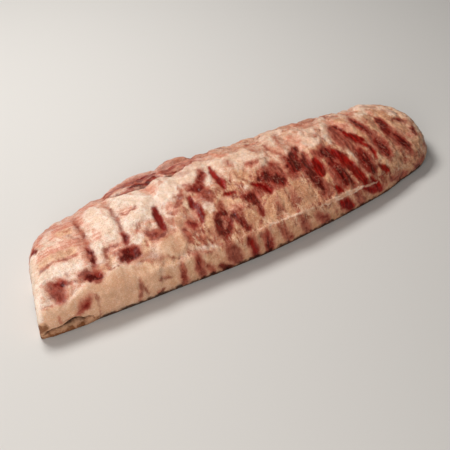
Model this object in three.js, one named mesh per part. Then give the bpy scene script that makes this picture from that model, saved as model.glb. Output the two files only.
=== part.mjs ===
// A raw rack of pork spare ribs, lying with its outer side up.
// Millimetres, +Z up. The rack runs along X, its wide end at -X and its narrow end at +X,
// and it arches over Y, so that it stands on two long edges.
import * as THREE from 'three';

// Driving sizes along the rack: the wide end's place and the width of each rib's lobe
const WIDE_END_X = -198;
const RIB_WIDTHS = [56, 31, 41, 27, 32, 31, 32, 25, 32, 29, 29, 20, 58];
const RIB_COUNT = RIB_WIDTHS.length;

// Sizes that change along the rack, as [rib number, size] at a few ribs
const SLANT = profile([0, 0.31], [2, 0.28], [3, 0.30], [5, 0.40], [7, 0.38], [9, 0.33], [10, 0.26],
  [12, 0.06], [13, -0.08]);
const FRONT_Y = profile([0, -47], [1, -51], [3, -54], [6, -57], [8, -54], [10, -48], [12, -37], [13, -21]);
const BACK_Y = profile([0, 52], [1, 64], [2, 72], [3, 76], [5, 77], [7, 74], [8, 75], [9, 72], [11, 65],
  [12, 65], [13, 67]);
const CROWN_Z = profile([0, 38], [2, 44], [5, 46], [10, 45], [12, 42], [13, 34]);
const FRONT_FACE_Z = profile([0, 25], [7, 25], [10, 22], [12, 20], [13, 17]);
const BACK_SHOULDER_Z = profile([0, 29], [3, 33], [11, 34], [12, 34], [13, 29]);
const ARCH_RISE = profile([0, 8], [3, 15], [8, 16], [11, 12], [13, 5]);
const SLANT_PIVOT_Y = -20;

// The upper edge of the front face, as [inwards from the edge, above the face's height], and the
// last point of the top before the back shoulder
const FACE_TOP = [[0.5, -4], [4.5, 2]];
const SHOULDER_POINT = { inwards: 6, below: 1 };

// The section's feet: flat strips along both long edges, measured in from each edge
const FRONT_FOOT = { from: 2.5, to: 14 };
const BACK_FOOT = { from: 4, to: 15 };

// The front edge below its face, as [inwards from the edge, height], plain and where it gapes
const FRONT_EDGE = [[0.9, 2.5], [0.4, 5], [0.1, 7.5], [0, 10], [0, 14]];
const FRONT_EDGE_GAPING = [[-1, 2.6], [-0.6, 6.2], [7, 8.2], [1.5, 11.8], [0.6, 15.5]];

// The back edge below its shoulder: plain as [outwards, share of the shoulder's height],
// and with the roll of meat as [outwards, below the shoulder]
const BACK_EDGE = [[-2, 0.86], [-0.6, 0.7], [0, 0.5], [-0.2, 0.33]];
const BACK_EDGE_ROLLED = [[-3, 7], [3.5, 3], [10, 8], [8, 18]];
const BACK_TOE = { outwards: -1, share: 0.15 };

// The top of the section rises to its crown and falls to the back shoulder: shares of the width
const CROWN_SHARE = 0.62;
const FALL_SHARE = 0.33;
const RISE_POWER = 0.8;
const TOP_SHARES = [0.14, 0.26, 0.38, 0.5, CROWN_SHARE, 0.74, 0.85];

// The underside's arch, back to front: [share of the width, share of the rise]
const ARCH_POINTS = [[0.75, 0.5], [0.5, 1], [0.25, 0.45]];
const RIB_RIDGE_HEIGHT = 1.6;
const RIDGE_SHARES = [[0.16, 0.34], [0.66, 0.84]];

// Corner radii of the two ends, seen from above (front, back) and from the side (top, bottom)
const WIDE_END = { front: 4, back: 31, top: 9, bottom: 1 };
const NARROW_END = { front: 31, back: 54, top: 21, bottom: 4 };

// A roll of meat hangs over the back edge in three humps: middle x, half length, size
const BACK_ROLL = [[-58, 27, 0.85], [-13, 18, 1.05], [17, 9, 0.6]];
const ROLL_REACH = 1.25;

// A dark gap under the fat at the front of the wide end: where it opens and where it closes
const GAP_OPENS = [-204, -195];
const GAP_CLOSES = [-168, -152];

// Creases between the ribs: depth at a few ribs, its share round the section, and how far a crease
// drifts along x on its way round
const CREASE_DEPTH = profile([0, 0], [0.8, 1.2], [2, 1.3], [3, 1.0], [4, 0.7], [6, 0.6], [9, 0.6],
  [12, 0.8], [13, 0]);
const CREASE_SHARE = profile([30, 0.6], [60, 0.95], [82, 0.55], [104, 0.75], [122, 1.5], [150, 1.6]);
const CREASE_DRIFT = profile([45, 4], [60, 1.5], [75, -0.5], [90, -2], [110, -7], [140, -9]);
const CREASE_WIDTH = 4.6;
const LOBE_SWELL = 0.45;
const LOBE_FADE = 9;
const CREASE_UNEVENNESS = 0.25;
const CREASE_RHYTHM = 5.3;
const FRONT_LOBE_SHARE = 0.15;
const FULL_LOBES_ROUND = [32, 54];

// Low waves all over: height, length along x, length round the section, phase
const WAVES = [[0.35, 11, 17, 0], [0.3, 6.1, -9.3, 1], [0.2, 3.9, 5.3, 1.6]];

// Where the relief fades out above the two feet, measured round the section
const FRONT_FADE = [4, 12];
const BACK_FADE = [14, 5];
const ROLL_FADE = 30;
const ROLL_FULL_AT = 0.33;

// The fat cap on the front of the wide end: [x, place of its upper edge round the section]
const FAT_CAP_FROM_X = -188;
const FAT_CAP_TO_X = -90;
const FAT_CAP_EDGE = profile([-188, 32], [-172, 31], [-150, 40], [-136, 41], [-122, 45], [-108, 42],
  [-90, 32]);
const FAT_CAP_RISE = 1.3;
const FAT_CAP_FADE = 5;
const FAT_CAP_SLOPE = [-2, 3];

// A white band of connective tissue along the top of the front face
const BAND = { fromX: -96, toX: 150, round: 29, halfWidth: 3.2, rise: 0.7, fade: 5 };

// Plates of fat (rise) and sunken meat (fall): x, place round the section, half sizes, height
const PLATES = [
  { x: -70, round: 46, alongX: 15, alongRound: 12, height: 1.2 },
  { x: -104, round: 100, alongX: 26, alongRound: 22, height: 0.9 },
  { x: 22, round: 104, alongX: 24, alongRound: 14, height: 0.9 },
  { x: 98, round: 100, alongX: 16, alongRound: 20, height: 1.0 },
  { x: -178, round: 43, alongX: 9, alongRound: 11, height: -0.5 },
  { x: -147, round: 46, alongX: 10, alongRound: 8, height: -0.6 },
  { x: -112, round: 53, alongX: 9, alongRound: 7, height: -0.5 },
  { x: -76, round: 76, alongX: 4, alongRound: 17, height: -0.6 },
  { x: -33, round: 98, alongX: 9, alongRound: 9, height: -0.6 },
  { x: -17, round: 49, alongX: 9, alongRound: 12, height: -0.7 },
  { x: 38, round: 74, alongX: 18, alongRound: 12, height: -0.8 },
  { x: 77, round: 84, alongX: 11, alongRound: 18, height: -0.8 },
  { x: 93, round: 66, alongX: 6, alongRound: 10, height: -0.7 },
  { x: 127, round: 86, alongX: 9, alongRound: 18, height: -0.4 },
  { x: 126, round: 50, alongX: 6, alongRound: 20, height: -1.0 },
  { x: 194, round: 66, alongX: 7, alongRound: 16, height: -0.7 },
];

const PLATE_SLOPE = [0.75, 1.15];

// How finely the surface is drawn
const STATION_STEP = 4.8;
const NARROW_END_STEPS = [0, 0.6, 1.8, 3.8, 6.5, 10, 14.5, 20, 26, 32, 38.5, 45, 51.5];
const WIDE_END_STEPS = [0, 0.7, 2, 4, 7, 11, 15.5, 20.5, 25.5, 30.5, 35.5, 40.5, 45.5, 50.5];
const FRONT_SAMPLES = 1;
const TOP_SAMPLES = 2;
const TOP_FROM_SPAN = 7;
const TOP_TO_SPAN = 15;
const BACK_SAMPLES = 1;
const UNDER_SAMPLES = 2;

// A smooth curve through [place, size] keys that never overshoots them
function profile(...keys) {
  const places = keys.map((key) => key[0]);
  const sizes = keys.map((key) => key[1]);
  const last = keys.length - 1;
  const gaps = [];
  const slopes = [];
  for (let i = 0; i < last; i += 1) {
    gaps.push(places[i + 1] - places[i]);
    slopes.push((sizes[i + 1] - sizes[i]) / gaps[i]);
  }
  const tangents = keys.map((key, i) => {
    if (i === 0) return slopes[0];
    if (i === last) return slopes[last - 1];
    const product = slopes[i - 1] * slopes[i];
    return product > 0 ? (2 * product) / (slopes[i - 1] + slopes[i]) : 0;
  });
  return (place) => {
    const at = THREE.MathUtils.clamp(place, places[0], places[last]);
    let i = 0;
    while (i < last - 1 && at > places[i + 1]) i += 1;
    const t = (at - places[i]) / gaps[i];
    const t2 = t * t;
    const t3 = t2 * t;
    return (2 * t3 - 3 * t2 + 1) * sizes[i] + (t3 - 2 * t2 + t) * gaps[i] * tangents[i]
      + (3 * t2 - 2 * t3) * sizes[i + 1] + (t3 - t2) * gaps[i] * tangents[i + 1];
  };
}

// The x of each crease line, at the slant's pivot
function ribEdges() {
  const edges = [WIDE_END_X];
  for (const width of RIB_WIDTHS) edges.push(edges[edges.length - 1] + width);
  return edges;
}

const RIB_EDGES = ribEdges();
const NARROW_END_X = RIB_EDGES[RIB_COUNT];

// Where the rack is cut across: rib number of every station
function stations() {
  const list = WIDE_END_STEPS.map((step) => step / RIB_WIDTHS[0]);
  for (let rib = 1; rib < RIB_COUNT - 1; rib += 1) {
    const steps = Math.round(RIB_WIDTHS[rib] / STATION_STEP);
    for (let i = 0; i < steps; i += 1) list.push(rib + i / steps);
  }
  const lastWidth = RIB_WIDTHS[RIB_COUNT - 1];
  list.push(RIB_COUNT - 1);
  for (const step of [...NARROW_END_STEPS].reverse()) list.push(RIB_COUNT - step / lastWidth);
  return list;
}

function middleX(rib) {
  const index = Math.min(Math.floor(rib), RIB_COUNT - 1);
  return RIB_EDGES[index] + (rib - index) * RIB_WIDTHS[index];
}

function slantedX(rib, y) {
  return middleX(rib) + SLANT(rib) * (y - SLANT_PIVOT_Y);
}

function rollWeight(x) {
  let weight = 0;
  for (const [middle, half, size] of BACK_ROLL) {
    const away = (x - middle) / (half * ROLL_REACH);
    weight = Math.max(weight, size * Math.sqrt(Math.max(0, 1 - away * away)));
  }
  return weight;
}

// 1 between two fades, each given as [where it starts, where it ends]
function stretch(x, opens, closes) {
  return THREE.MathUtils.smoothstep(x, ...opens) * (1 - THREE.MathUtils.smoothstep(x, ...closes));
}

// The control points of one section, in (y, z): over the outside, then along the underside
function sectionPoints(rib, roll, gap) {
  const front = FRONT_Y(rib);
  const back = BACK_Y(rib);
  const crown = CROWN_Z(rib);
  const face = FRONT_FACE_Z(rib);
  const shoulder = BACK_SHOULDER_Z(rib);
  const arch = ARCH_RISE(rib);
  const width = back - front;
  const point = (y, z) => new THREE.Vector2(y, z);
  const outside = [point(front + FRONT_FOOT.from, 0)];
  FRONT_EDGE.forEach(([inwards, height], i) => {
    const [gapingInwards, gapingHeight] = FRONT_EDGE_GAPING[i];
    outside.push(point(front + inwards, height).lerp(point(front + gapingInwards, gapingHeight), gap));
  });
  for (const [inwards, above] of FACE_TOP) outside.push(point(front + inwards, face + above));
  const edge = outside[outside.length - 1].y;
  for (const share of TOP_SHARES) {
    const rise = Math.sin((Math.PI / 2) * Math.min(share / CROWN_SHARE, 1)) ** RISE_POWER;
    const fall = Math.cos((Math.PI / 2) * Math.min((share - CROWN_SHARE) / FALL_SHARE, 1));
    const rising = edge + (crown - edge) * rise;
    const falling = shoulder + (crown - shoulder) * fall;
    outside.push(point(front + share * width, share <= CROWN_SHARE ? rising : falling));
  }
  outside.push(point(back - SHOULDER_POINT.inwards, shoulder - SHOULDER_POINT.below));
  BACK_EDGE.forEach(([outwards, share], i) => {
    const [rolledOutwards, below] = BACK_EDGE_ROLLED[i];
    const rolled = point(back + rolledOutwards, shoulder - below);
    outside.push(point(back + outwards, share * shoulder).lerp(rolled, roll));
  });
  outside.push(point(back + BACK_TOE.outwards, BACK_TOE.share * shoulder), point(back - BACK_FOOT.from, 0));
  const under = [
    point(back - BACK_FOOT.from, 0),
    point(back - BACK_FOOT.to, 0),
    ...ARCH_POINTS.map(([across, rise]) => point(front + across * width, rise * arch)),
    point(front + FRONT_FOOT.to, 0),
    point(front + FRONT_FOOT.from, 0),
  ];
  return { outside, under, front, width, crown };
}

// Curve parameters along the outside, more of them over the top than on the front and back
function outsideParameters(pointCount) {
  const list = [];
  const lastSpan = pointCount - 1;
  for (let span = 0; span < lastSpan; span += 1) {
    const onTop = span >= TOP_FROM_SPAN && span < TOP_TO_SPAN;
    const samples = onTop ? TOP_SAMPLES : (span < TOP_FROM_SPAN ? FRONT_SAMPLES : BACK_SAMPLES);
    for (let i = 0; i < samples; i += 1) list.push((span + i / samples) / lastSpan);
  }
  return list;
}

function underParameters(pointCount) {
  const count = (pointCount - 1) * UNDER_SAMPLES;
  return Array.from({ length: count }, (unused, i) => i / count);
}

// Distances round the outside from its lower front edge
function distancesRound(points) {
  const list = [0];
  for (let i = 1; i < points.length; i += 1) list.push(list[i - 1] + points[i].distanceTo(points[i - 1]));
  return list;
}

// Lobes over the ribs with furrows between them, no two furrows equally deep
function lobeRelief(rib, x, round) {
  const driftedBack = x - CREASE_DRIFT(round);
  let nearest = Infinity;
  for (let i = 1; i < RIB_COUNT; i += 1) nearest = Math.min(nearest, Math.abs(driftedBack - RIB_EDGES[i]));
  const furrow = Math.exp(-((nearest / CREASE_WIDTH) ** 2));
  const swell = 1 - Math.exp(-((nearest / LOBE_FADE) ** 2));
  const depth = CREASE_DEPTH(rib) * (1 + CREASE_UNEVENNESS * Math.sin(CREASE_RHYTHM * Math.round(rib)));
  return LOBE_SWELL * swell - depth * CREASE_SHARE(round) * furrow;
}

// A plate with a steep edge and an even top
function plateRelief(plate, x, round) {
  const away = Math.hypot((x - plate.x) / plate.alongX, (round - plate.round) / plate.alongRound);
  return plate.height * (1 - THREE.MathUtils.smoothstep(away, ...PLATE_SLOPE));
}

function fatCapRelief(x, round) {
  const along = stretch(
    x,
    [FAT_CAP_FROM_X - FAT_CAP_FADE, FAT_CAP_FROM_X],
    [FAT_CAP_TO_X, FAT_CAP_TO_X + FAT_CAP_FADE],
  );
  const aboveEdge = round - FAT_CAP_EDGE(x);
  return FAT_CAP_RISE * along * (1 - THREE.MathUtils.smoothstep(aboveEdge, ...FAT_CAP_SLOPE));
}

function bandRelief(x, round) {
  const along = stretch(
    x,
    [BAND.fromX - BAND.fade, BAND.fromX + BAND.fade],
    [BAND.toX - BAND.fade, BAND.toX + BAND.fade],
  );
  return BAND.rise * along * Math.exp(-(((round - BAND.round) / BAND.halfWidth) ** 2));
}

function unevenness(x, round) {
  let sum = 0;
  for (const [height, alongX, alongRound, phase] of WAVES) {
    sum += height * Math.sin(x / alongX + round / alongRound + phase);
  }
  return sum;
}

// How far the skin of the rack stands out from the plain section, at x and a distance round it.
// The relief fades out at the feet, and before the roll of meat that hangs over the back edge.
function outsideRelief(rib, x, round, whole, roll) {
  const rollShare = Math.min(roll / ROLL_FULL_AT, 1);
  const fadeFrom = whole - BACK_FADE[0] - ROLL_FADE * rollShare;
  const fadeTo = fadeFrom + BACK_FADE[0] - BACK_FADE[1];
  const clearOfFeet = stretch(round, FRONT_FADE, [fadeFrom, fadeTo]);
  const fullLobes = THREE.MathUtils.smoothstep(round, ...FULL_LOBES_ROUND);
  const lobes = lobeRelief(rib, x, round) * (FRONT_LOBE_SHARE + (1 - FRONT_LOBE_SHARE) * fullLobes);
  let relief = lobes + fatCapRelief(x, round) + bandRelief(x, round) + unevenness(x, round);
  for (const plate of PLATES) relief += plateRelief(plate, x, round);
  return relief * clearOfFeet;
}

function moveOutwards(points, reliefAt) {
  return points.map((point, i) => {
    const before = points[Math.max(i - 1, 0)];
    const after = points[Math.min(i + 1, points.length - 1)];
    const along = after.clone().sub(before).normalize();
    return new THREE.Vector2(point.x - along.y * reliefAt(i), point.y + along.x * reliefAt(i));
  });
}

// The ribs show as low ridges inside the arch of the underside
function underRelief(rib, point, section) {
  const across = (point.x - section.front) / section.width;
  const inArch = stretch(across, ...RIDGE_SHARES);
  return -RIB_RIDGE_HEIGHT * Math.sin(Math.PI * (rib % 1)) ** 2 * inArch;
}

function roundingInset(distance, radius) {
  const into = radius - THREE.MathUtils.clamp(distance, 0, radius);
  return radius - Math.sqrt(Math.max(radius * radius - into * into, 0));
}

// One closed section, placed in the rack: rounded towards the ends and slanted like the ribs
function stationLoop(rib) {
  const roll = rollWeight(slantedX(rib, BACK_Y(rib)));
  const gap = stretch(slantedX(rib, FRONT_Y(rib)), GAP_OPENS, GAP_CLOSES);
  const x = middleX(rib);
  const plain = sectionPoints(rib, 0, 0);
  const section = sectionPoints(rib, roll, gap);
  const outsideAt = outsideParameters(section.outside.length);
  const plainCurve = new THREE.SplineCurve(plain.outside);
  const curve = new THREE.SplineCurve(section.outside);
  const round = distancesRound([...outsideAt, 1].map((t) => plainCurve.getPoint(t)));
  const whole = round[round.length - 1];
  const outside = moveOutwards(
    [...outsideAt, 1].map((t) => curve.getPoint(t)),
    (i) => outsideRelief(rib, x, round[i], whole, roll),
  ).slice(0, -1);
  const underCurve = new THREE.SplineCurve(section.under);
  const under = underParameters(section.under.length).map((t) => underCurve.getPoint(t));
  for (const point of under) point.y += underRelief(rib, point, section);
  const fromWide = x - WIDE_END_X;
  const fromNarrow = NARROW_END_X - x;
  const inset = (side) => (
    roundingInset(fromWide, WIDE_END[side]) + roundingInset(fromNarrow, NARROW_END[side])
  );
  const acrossScale = (section.width - inset('front') - inset('back')) / section.width;
  const heightScale = (section.crown - inset('top') - inset('bottom')) / section.crown;
  return [...outside, ...under].map((point) => {
    const y = section.front + inset('front') + (point.x - section.front) * acrossScale;
    const z = inset('bottom') + Math.max(point.y, 0) * heightScale;
    return new THREE.Vector3(slantedX(rib, y), y, z);
  });
}

// Two neighbouring stations are joined by quads, each quad split along its shorter diagonal
function sideTriangles(loops) {
  const count = loops[0].length;
  const triangles = [];
  for (let station = 0; station < loops.length - 1; station += 1) {
    for (let i = 0; i < count; i += 1) {
      const next = (i + 1) % count;
      const a = station * count + i;
      const b = station * count + next;
      const c = (station + 1) * count + i;
      const d = (station + 1) * count + next;
      const acrossAD = loops[station][i].distanceTo(loops[station + 1][next]);
      const acrossBC = loops[station][next].distanceTo(loops[station + 1][i]);
      if (acrossAD < acrossBC) triangles.push(a, d, b, a, c, d);
      else triangles.push(a, c, b, b, c, d);
    }
  }
  return triangles;
}

// A flat cut face closes each end
function capTriangles(loop, firstIndex, turned) {
  const outline = loop.map((point) => new THREE.Vector2(point.y, point.z));
  const triangles = [];
  for (const [a, b, c] of THREE.ShapeUtils.triangulateShape(outline, [])) {
    const order = turned ? [a, c, b] : [a, b, c];
    triangles.push(...order.map((i) => firstIndex + i));
  }
  return triangles;
}

function rackGeometry() {
  const loops = stations().map(stationLoop);
  const count = loops[0].length;
  const positions = loops.flat().flatMap((point) => [point.x, point.y, point.z]);
  const triangles = [
    ...sideTriangles(loops),
    ...capTriangles(loops[0], 0, true),
    ...capTriangles(loops[loops.length - 1], (loops.length - 1) * count, false),
  ];
  const geometry = new THREE.BufferGeometry();
  geometry.setAttribute('position', new THREE.Float32BufferAttribute(positions, 3));
  geometry.setIndex(triangles);
  geometry.computeBoundingBox();
  const centre = geometry.boundingBox.getCenter(new THREE.Vector3());
  geometry.translate(-centre.x, -centre.y, -geometry.boundingBox.min.z);
  geometry.computeVertexNormals();
  return geometry;
}

const rawPork = new THREE.MeshStandardMaterial({ color: 0xb07c66, roughness: 0.42, metalness: 0 });

const rack = new THREE.Mesh(rackGeometry(), rawPork);
rack.name = 'rib_rack';

const model = new THREE.Group();
model.add(rack);

export default model;
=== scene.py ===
# %% [markdown]
# # A raw rack of pork spare ribs
# This script dresses a rack of raw ribs: one long, arched slab of meat and fat, with a crease over
# each gap between two ribs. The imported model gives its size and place. We build a finer skin over
# the same form, paint it with fat, meat and membrane, and light it as in a small studio.

# %% Load the frame
import math

import bmesh
import bpy
import numpy as np
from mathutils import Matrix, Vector, noise


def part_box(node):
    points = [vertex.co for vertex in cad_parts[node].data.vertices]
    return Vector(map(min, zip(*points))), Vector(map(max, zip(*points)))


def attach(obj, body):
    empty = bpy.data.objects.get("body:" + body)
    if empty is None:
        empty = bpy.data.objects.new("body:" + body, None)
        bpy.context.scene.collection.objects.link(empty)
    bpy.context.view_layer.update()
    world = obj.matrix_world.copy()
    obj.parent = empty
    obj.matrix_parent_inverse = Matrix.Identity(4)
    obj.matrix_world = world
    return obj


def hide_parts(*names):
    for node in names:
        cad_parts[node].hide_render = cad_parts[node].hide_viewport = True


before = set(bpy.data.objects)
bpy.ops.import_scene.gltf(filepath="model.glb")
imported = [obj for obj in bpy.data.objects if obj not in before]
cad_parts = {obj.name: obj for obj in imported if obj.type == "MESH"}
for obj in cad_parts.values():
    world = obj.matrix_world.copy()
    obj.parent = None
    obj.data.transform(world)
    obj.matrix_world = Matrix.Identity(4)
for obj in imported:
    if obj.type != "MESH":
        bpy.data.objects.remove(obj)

MM = 0.001
print("nodes in the frame:", list(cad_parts))

# %% Measure the frame
rack_low, rack_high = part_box("rib_rack")
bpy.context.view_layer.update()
rack_size = [high - low for low, high in zip(rack_low, rack_high)]
print("the rack measures", [round(side / MM, 1) for side in rack_size], "mm")

# %% [markdown]
# ## Sizes along the rack
# A rack tapers, slants and flattens from its wide end to its narrow one. Each such size is a smooth
# curve through a few keys, written as (rib number, millimetres). Keys at ribs are easy to move one
# by one, and a curve that never overshoots its keys adds no humps of its own between them.


# %% A smooth curve through keys
def profile(*keys):
    """Give a function that runs smoothly through (place, size) keys and never overshoots them."""
    place = np.array([key[0] for key in keys], float)
    size = np.array([key[1] for key in keys], float)
    gap = np.diff(place)
    slope = np.diff(size) / gap
    tangent = np.concatenate([[slope[0]], np.zeros(len(keys) - 2), [slope[-1]]])
    for i in range(1, len(keys) - 1):
        if slope[i - 1] * slope[i] > 0:
            tangent[i] = 2 * slope[i - 1] * slope[i] / (slope[i - 1] + slope[i])

    def curve(at):
        at = np.clip(at, place[0], place[-1])
        i = np.clip(np.searchsorted(place, at, side="right") - 1, 0, len(gap) - 1)
        t = (at - place[i]) / gap[i]
        start = (2 * t**3 - 3 * t**2 + 1) * size[i] + (t**3 - 2 * t**2 + t) * gap[i] * tangent[i]
        end = (3 * t**2 - 2 * t**3) * size[i + 1] + (t**3 - t**2) * gap[i] * tangent[i + 1]
        return start + end

    return curve


# %% The rack's driving sizes, in millimetres
WIDE_END_X = -198
RIB_WIDTHS = [56, 31, 41, 27, 32, 31, 32, 25, 32, 29, 29, 20, 58]
RIB_COUNT = len(RIB_WIDTHS)
RIB_EDGES = WIDE_END_X + np.concatenate([[0.0], np.cumsum(RIB_WIDTHS)])
NARROW_END_X = RIB_EDGES[-1]
SLANT = profile((0, 0.31), (2, 0.28), (3, 0.30), (5, 0.40), (7, 0.38), (9, 0.33), (10, 0.26),
                (12, 0.06), (13, -0.08))
SLANT_PIVOT_Y = -20
FRONT_Y = profile((0, -47), (1, -51), (3, -54), (6, -57), (8, -54), (10, -48), (12, -37), (13, -21))
BACK_Y = profile((0, 52), (1, 64), (2, 72), (3, 76), (5, 77), (7, 74), (8, 75), (9, 72), (11, 65),
                 (12, 65), (13, 67))
CROWN_Z = profile((0, 38), (2, 44), (5, 46), (10, 45), (12, 42), (13, 34))
FRONT_FACE_Z = profile((0, 25), (7, 25), (10, 22), (12, 20), (13, 17))
BACK_SHOULDER_Z = profile((0, 29), (3, 33), (11, 34), (12, 34), (13, 29))
ARCH_RISE = profile((0, 8), (3, 15), (8, 16), (11, 12), (13, 5))
WIDE_END = {"front": 4, "back": 31, "top": 9, "bottom": 1}
NARROW_END = {"front": 31, "back": 54, "top": 21, "bottom": 4}
print("ribs:", RIB_COUNT, "from x", WIDE_END_X, "to", NARROW_END_X)

# %% [markdown]
# ## One slice through the rack
# Cut across, the rack is a low arch: two flat feet, a steep front face, a rounded top and a back
# shoulder. At the wide end the fat gapes open at the front, and a roll of meat hangs over the back
# edge in three humps. Both are blends: the same control points, moved by a weight from 0 to 1.

# %% The slice's control points
BACK_ROLL = [(-58, 27, 0.85), (-13, 18, 1.05), (17, 9, 0.6)]  # middle, half length, size
ROLL_REACH = 1.25
GAP_OPENS = (-204, -195)
GAP_CLOSES = (-168, -152)
FRONT_FOOT = (2.5, 14)
BACK_FOOT = (4, 15)
FRONT_EDGE = [(0.9, 2.5), (0.4, 5), (0.1, 7.5), (0, 10), (0, 14)]
FRONT_EDGE_GAPING = [(-1, 2.6), (-0.6, 6.2), (7, 8.2), (1.5, 11.8), (0.6, 15.5)]
BACK_EDGE = [(-2, 0.86), (-0.6, 0.7), (0, 0.5), (-0.2, 0.33)]
BACK_EDGE_ROLLED = [(-3, 7), (3.5, 3), (10, 8), (8, 18)]
FACE_TOP = [(0.5, -4), (4.5, 2)]
SHOULDER_TOP = (6, 1)
BACK_TUCK = (1, 0.15)
RISE_POWER = 0.8
CROWN_SHARE = 0.62
FALL_SHARE = 0.33
TOP_SHARES = [0.14, 0.26, 0.38, 0.5, CROWN_SHARE, 0.74, 0.85]
ARCH_POINTS = [(0.75, 0.5), (0.5, 1), (0.25, 0.45)]


def smoothstep(x, start, end):
    t = np.clip((x - start) / (end - start), 0, 1)
    return t * t * (3 - 2 * t)


def stretch(x, opens, closes):
    """1 between two fades, each given as (where it starts, where it ends)."""
    return smoothstep(x, *opens) * (1 - smoothstep(x, *closes))


def middle_x(rib):
    return np.interp(rib, np.arange(RIB_COUNT + 1.0), RIB_EDGES)


def slanted_x(rib, y):
    return middle_x(rib) + SLANT(rib) * (y - SLANT_PIVOT_Y)


def roll_weight(x):
    weight = np.zeros_like(x)
    for middle, half, size in BACK_ROLL:
        away = (x - middle) / (half * ROLL_REACH)
        weight = np.maximum(weight, size * np.sqrt(np.clip(1 - away**2, 0, 1)))
    return weight


def slice_points(rib, roll, gap):
    """Control points (y, z) of the slices at many ribs at once: outside, then underside."""
    front, back, crown = FRONT_Y(rib), BACK_Y(rib), CROWN_Z(rib)
    face, shoulder, arch = FRONT_FACE_Z(rib), BACK_SHOULDER_Z(rib), ARCH_RISE(rib)
    width = back - front

    def point(y, z):
        return np.stack([y + 0 * width, z + 0 * width], -1)

    outside = [point(front + FRONT_FOOT[0], 0)]
    for (inwards, height), (gaping, gaping_height) in zip(FRONT_EDGE, FRONT_EDGE_GAPING):
        plain = point(front + inwards, height)
        outside.append(plain + (point(front + gaping, gaping_height) - plain) * gap[:, None])
    outside += [point(front + inwards, face + above) for inwards, above in FACE_TOP]
    rise_from = face + FACE_TOP[-1][1]
    for share in TOP_SHARES:
        rise = math.sin(math.pi / 2 * min(share / CROWN_SHARE, 1)) ** RISE_POWER
        fall = math.cos(math.pi / 2 * min(max(share - CROWN_SHARE, 0) / FALL_SHARE, 1))
        rising = rise_from + (crown - rise_from) * rise
        falling = shoulder + (crown - shoulder) * fall
        outside.append(point(front + share * width, rising if share <= CROWN_SHARE else falling))
    outside.append(point(back - SHOULDER_TOP[0], shoulder - SHOULDER_TOP[1]))
    for (outwards, share), (rolled, below) in zip(BACK_EDGE, BACK_EDGE_ROLLED):
        plain = point(back + outwards, share * shoulder)
        outside.append(plain + (point(back + rolled, shoulder - below) - plain) * roll[:, None])
    outside += [point(back - BACK_TUCK[0], BACK_TUCK[1] * shoulder), point(back - BACK_FOOT[0], 0)]
    underside = [point(back - BACK_FOOT[0], 0), point(back - BACK_FOOT[1], 0)]
    underside += [point(front + across * width, rise * arch) for across, rise in ARCH_POINTS]
    underside += [point(front + FRONT_FOOT[1], 0), point(front + FRONT_FOOT[0], 0)]
    return np.array(outside), np.array(underside)


def along_spline(points, at):
    """Walk a smooth curve through control points; at counts the points from 0."""
    i = np.minimum(at.astype(int), len(points) - 2)
    t = (at - i)[:, None, None]
    padded = np.concatenate([points[:1], points, points[-1:]])
    before, here, there, after = padded[i], padded[i + 1], padded[i + 2], padded[i + 3]
    leaving, arriving = (there - before) / 2, (after - here) / 2
    bend = (2 * here - 2 * there + leaving + arriving) * t**3
    return bend + (3 * there - 3 * here - 2 * leaving - arriving) * t**2 + leaving * t + here


# %% Round the ends off, and lay the slices along the rack
def corner_inset(distance, radius):
    into = radius - np.clip(distance, 0, radius)
    return radius - np.sqrt(np.maximum(radius**2 - into**2, 0))


def lay_slices(rib, slices):
    """Turn (y, z) slices into (x, y, z): inset towards both ends and slanted like the ribs."""
    x, front, crown = middle_x(rib), FRONT_Y(rib), CROWN_Z(rib)
    width = BACK_Y(rib) - front
    inset = {}
    for side in WIDE_END:
        from_wide = corner_inset(x - WIDE_END_X, WIDE_END[side])
        inset[side] = from_wide + corner_inset(NARROW_END_X - x, NARROW_END[side])
    width_kept = 1 - (inset["front"] + inset["back"]) / width
    height_kept = 1 - (inset["top"] + inset["bottom"]) / crown
    y = front + inset["front"] + (slices[..., 0] - front) * width_kept
    z = inset["bottom"] + np.maximum(slices[..., 1], 0) * height_kept
    return np.stack([slanted_x(rib, y), y, z], -1)


# %% [markdown]
# ## Lobes, furrows and plates of fat
# Each rib lifts the meat into a lobe, with a furrow on either side. Plates of fat stand about a
# millimetre proud, and dark patches of meat lie as much lower. This relief is a height over the
# plain slice. We place it by two lengths that anyone can measure on the skin: how far along the
# rack, and how far round it from the lower front edge.

# %% Relief of the lobes, the fat and the sunken meat
CREASE_DEPTH = profile((0, 0), (0.8, 1.2), (2, 1.3), (3, 1.0), (4, 0.7), (6, 0.6), (9, 0.6),
                       (12, 0.8), (13, 0))
CREASE_SHARE = profile((30, 0.6), (60, 0.95), (82, 0.55), (104, 0.75), (122, 1.5), (150, 1.6))
CREASE_DRIFT = profile((45, 4), (60, 1.5), (75, -0.5), (90, -2), (110, -7), (140, -9))
CREASE_WIDTH = 4.6
CREASE_UNEVENNESS = 0.25
CREASE_RHYTHM = 5.3
LOBE_SWELL = 0.45
LOBE_FADE = 9
FRONT_LOBE_SHARE = 0.15
FULL_LOBES_ROUND = (32, 54)
WAVES = [(0.35, 11, 17, 0), (0.3, 6.1, -9.3, 1), (0.2, 3.9, 5.3, 1.6)]
FRONT_FADE = (4, 12)
BACK_FADE = (14, 5)
ROLL_FADE = 30
FAT_CAP_EDGE = profile((-188, 32), (-172, 31), (-150, 40), (-136, 41), (-122, 45), (-108, 42),
                       (-90, 32))
FAT_CAP_ENDS = ((-193, -188), (-90, -85))
FAT_CAP_RISE = 1.3
FAT_CAP_SLOPE = (-2, 3)
BAND_ENDS = ((-101, -91), (145, 155))
BAND_ROUND = 29
BAND_HALF_WIDTH = 3.2
BAND_RISE = 0.7
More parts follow.
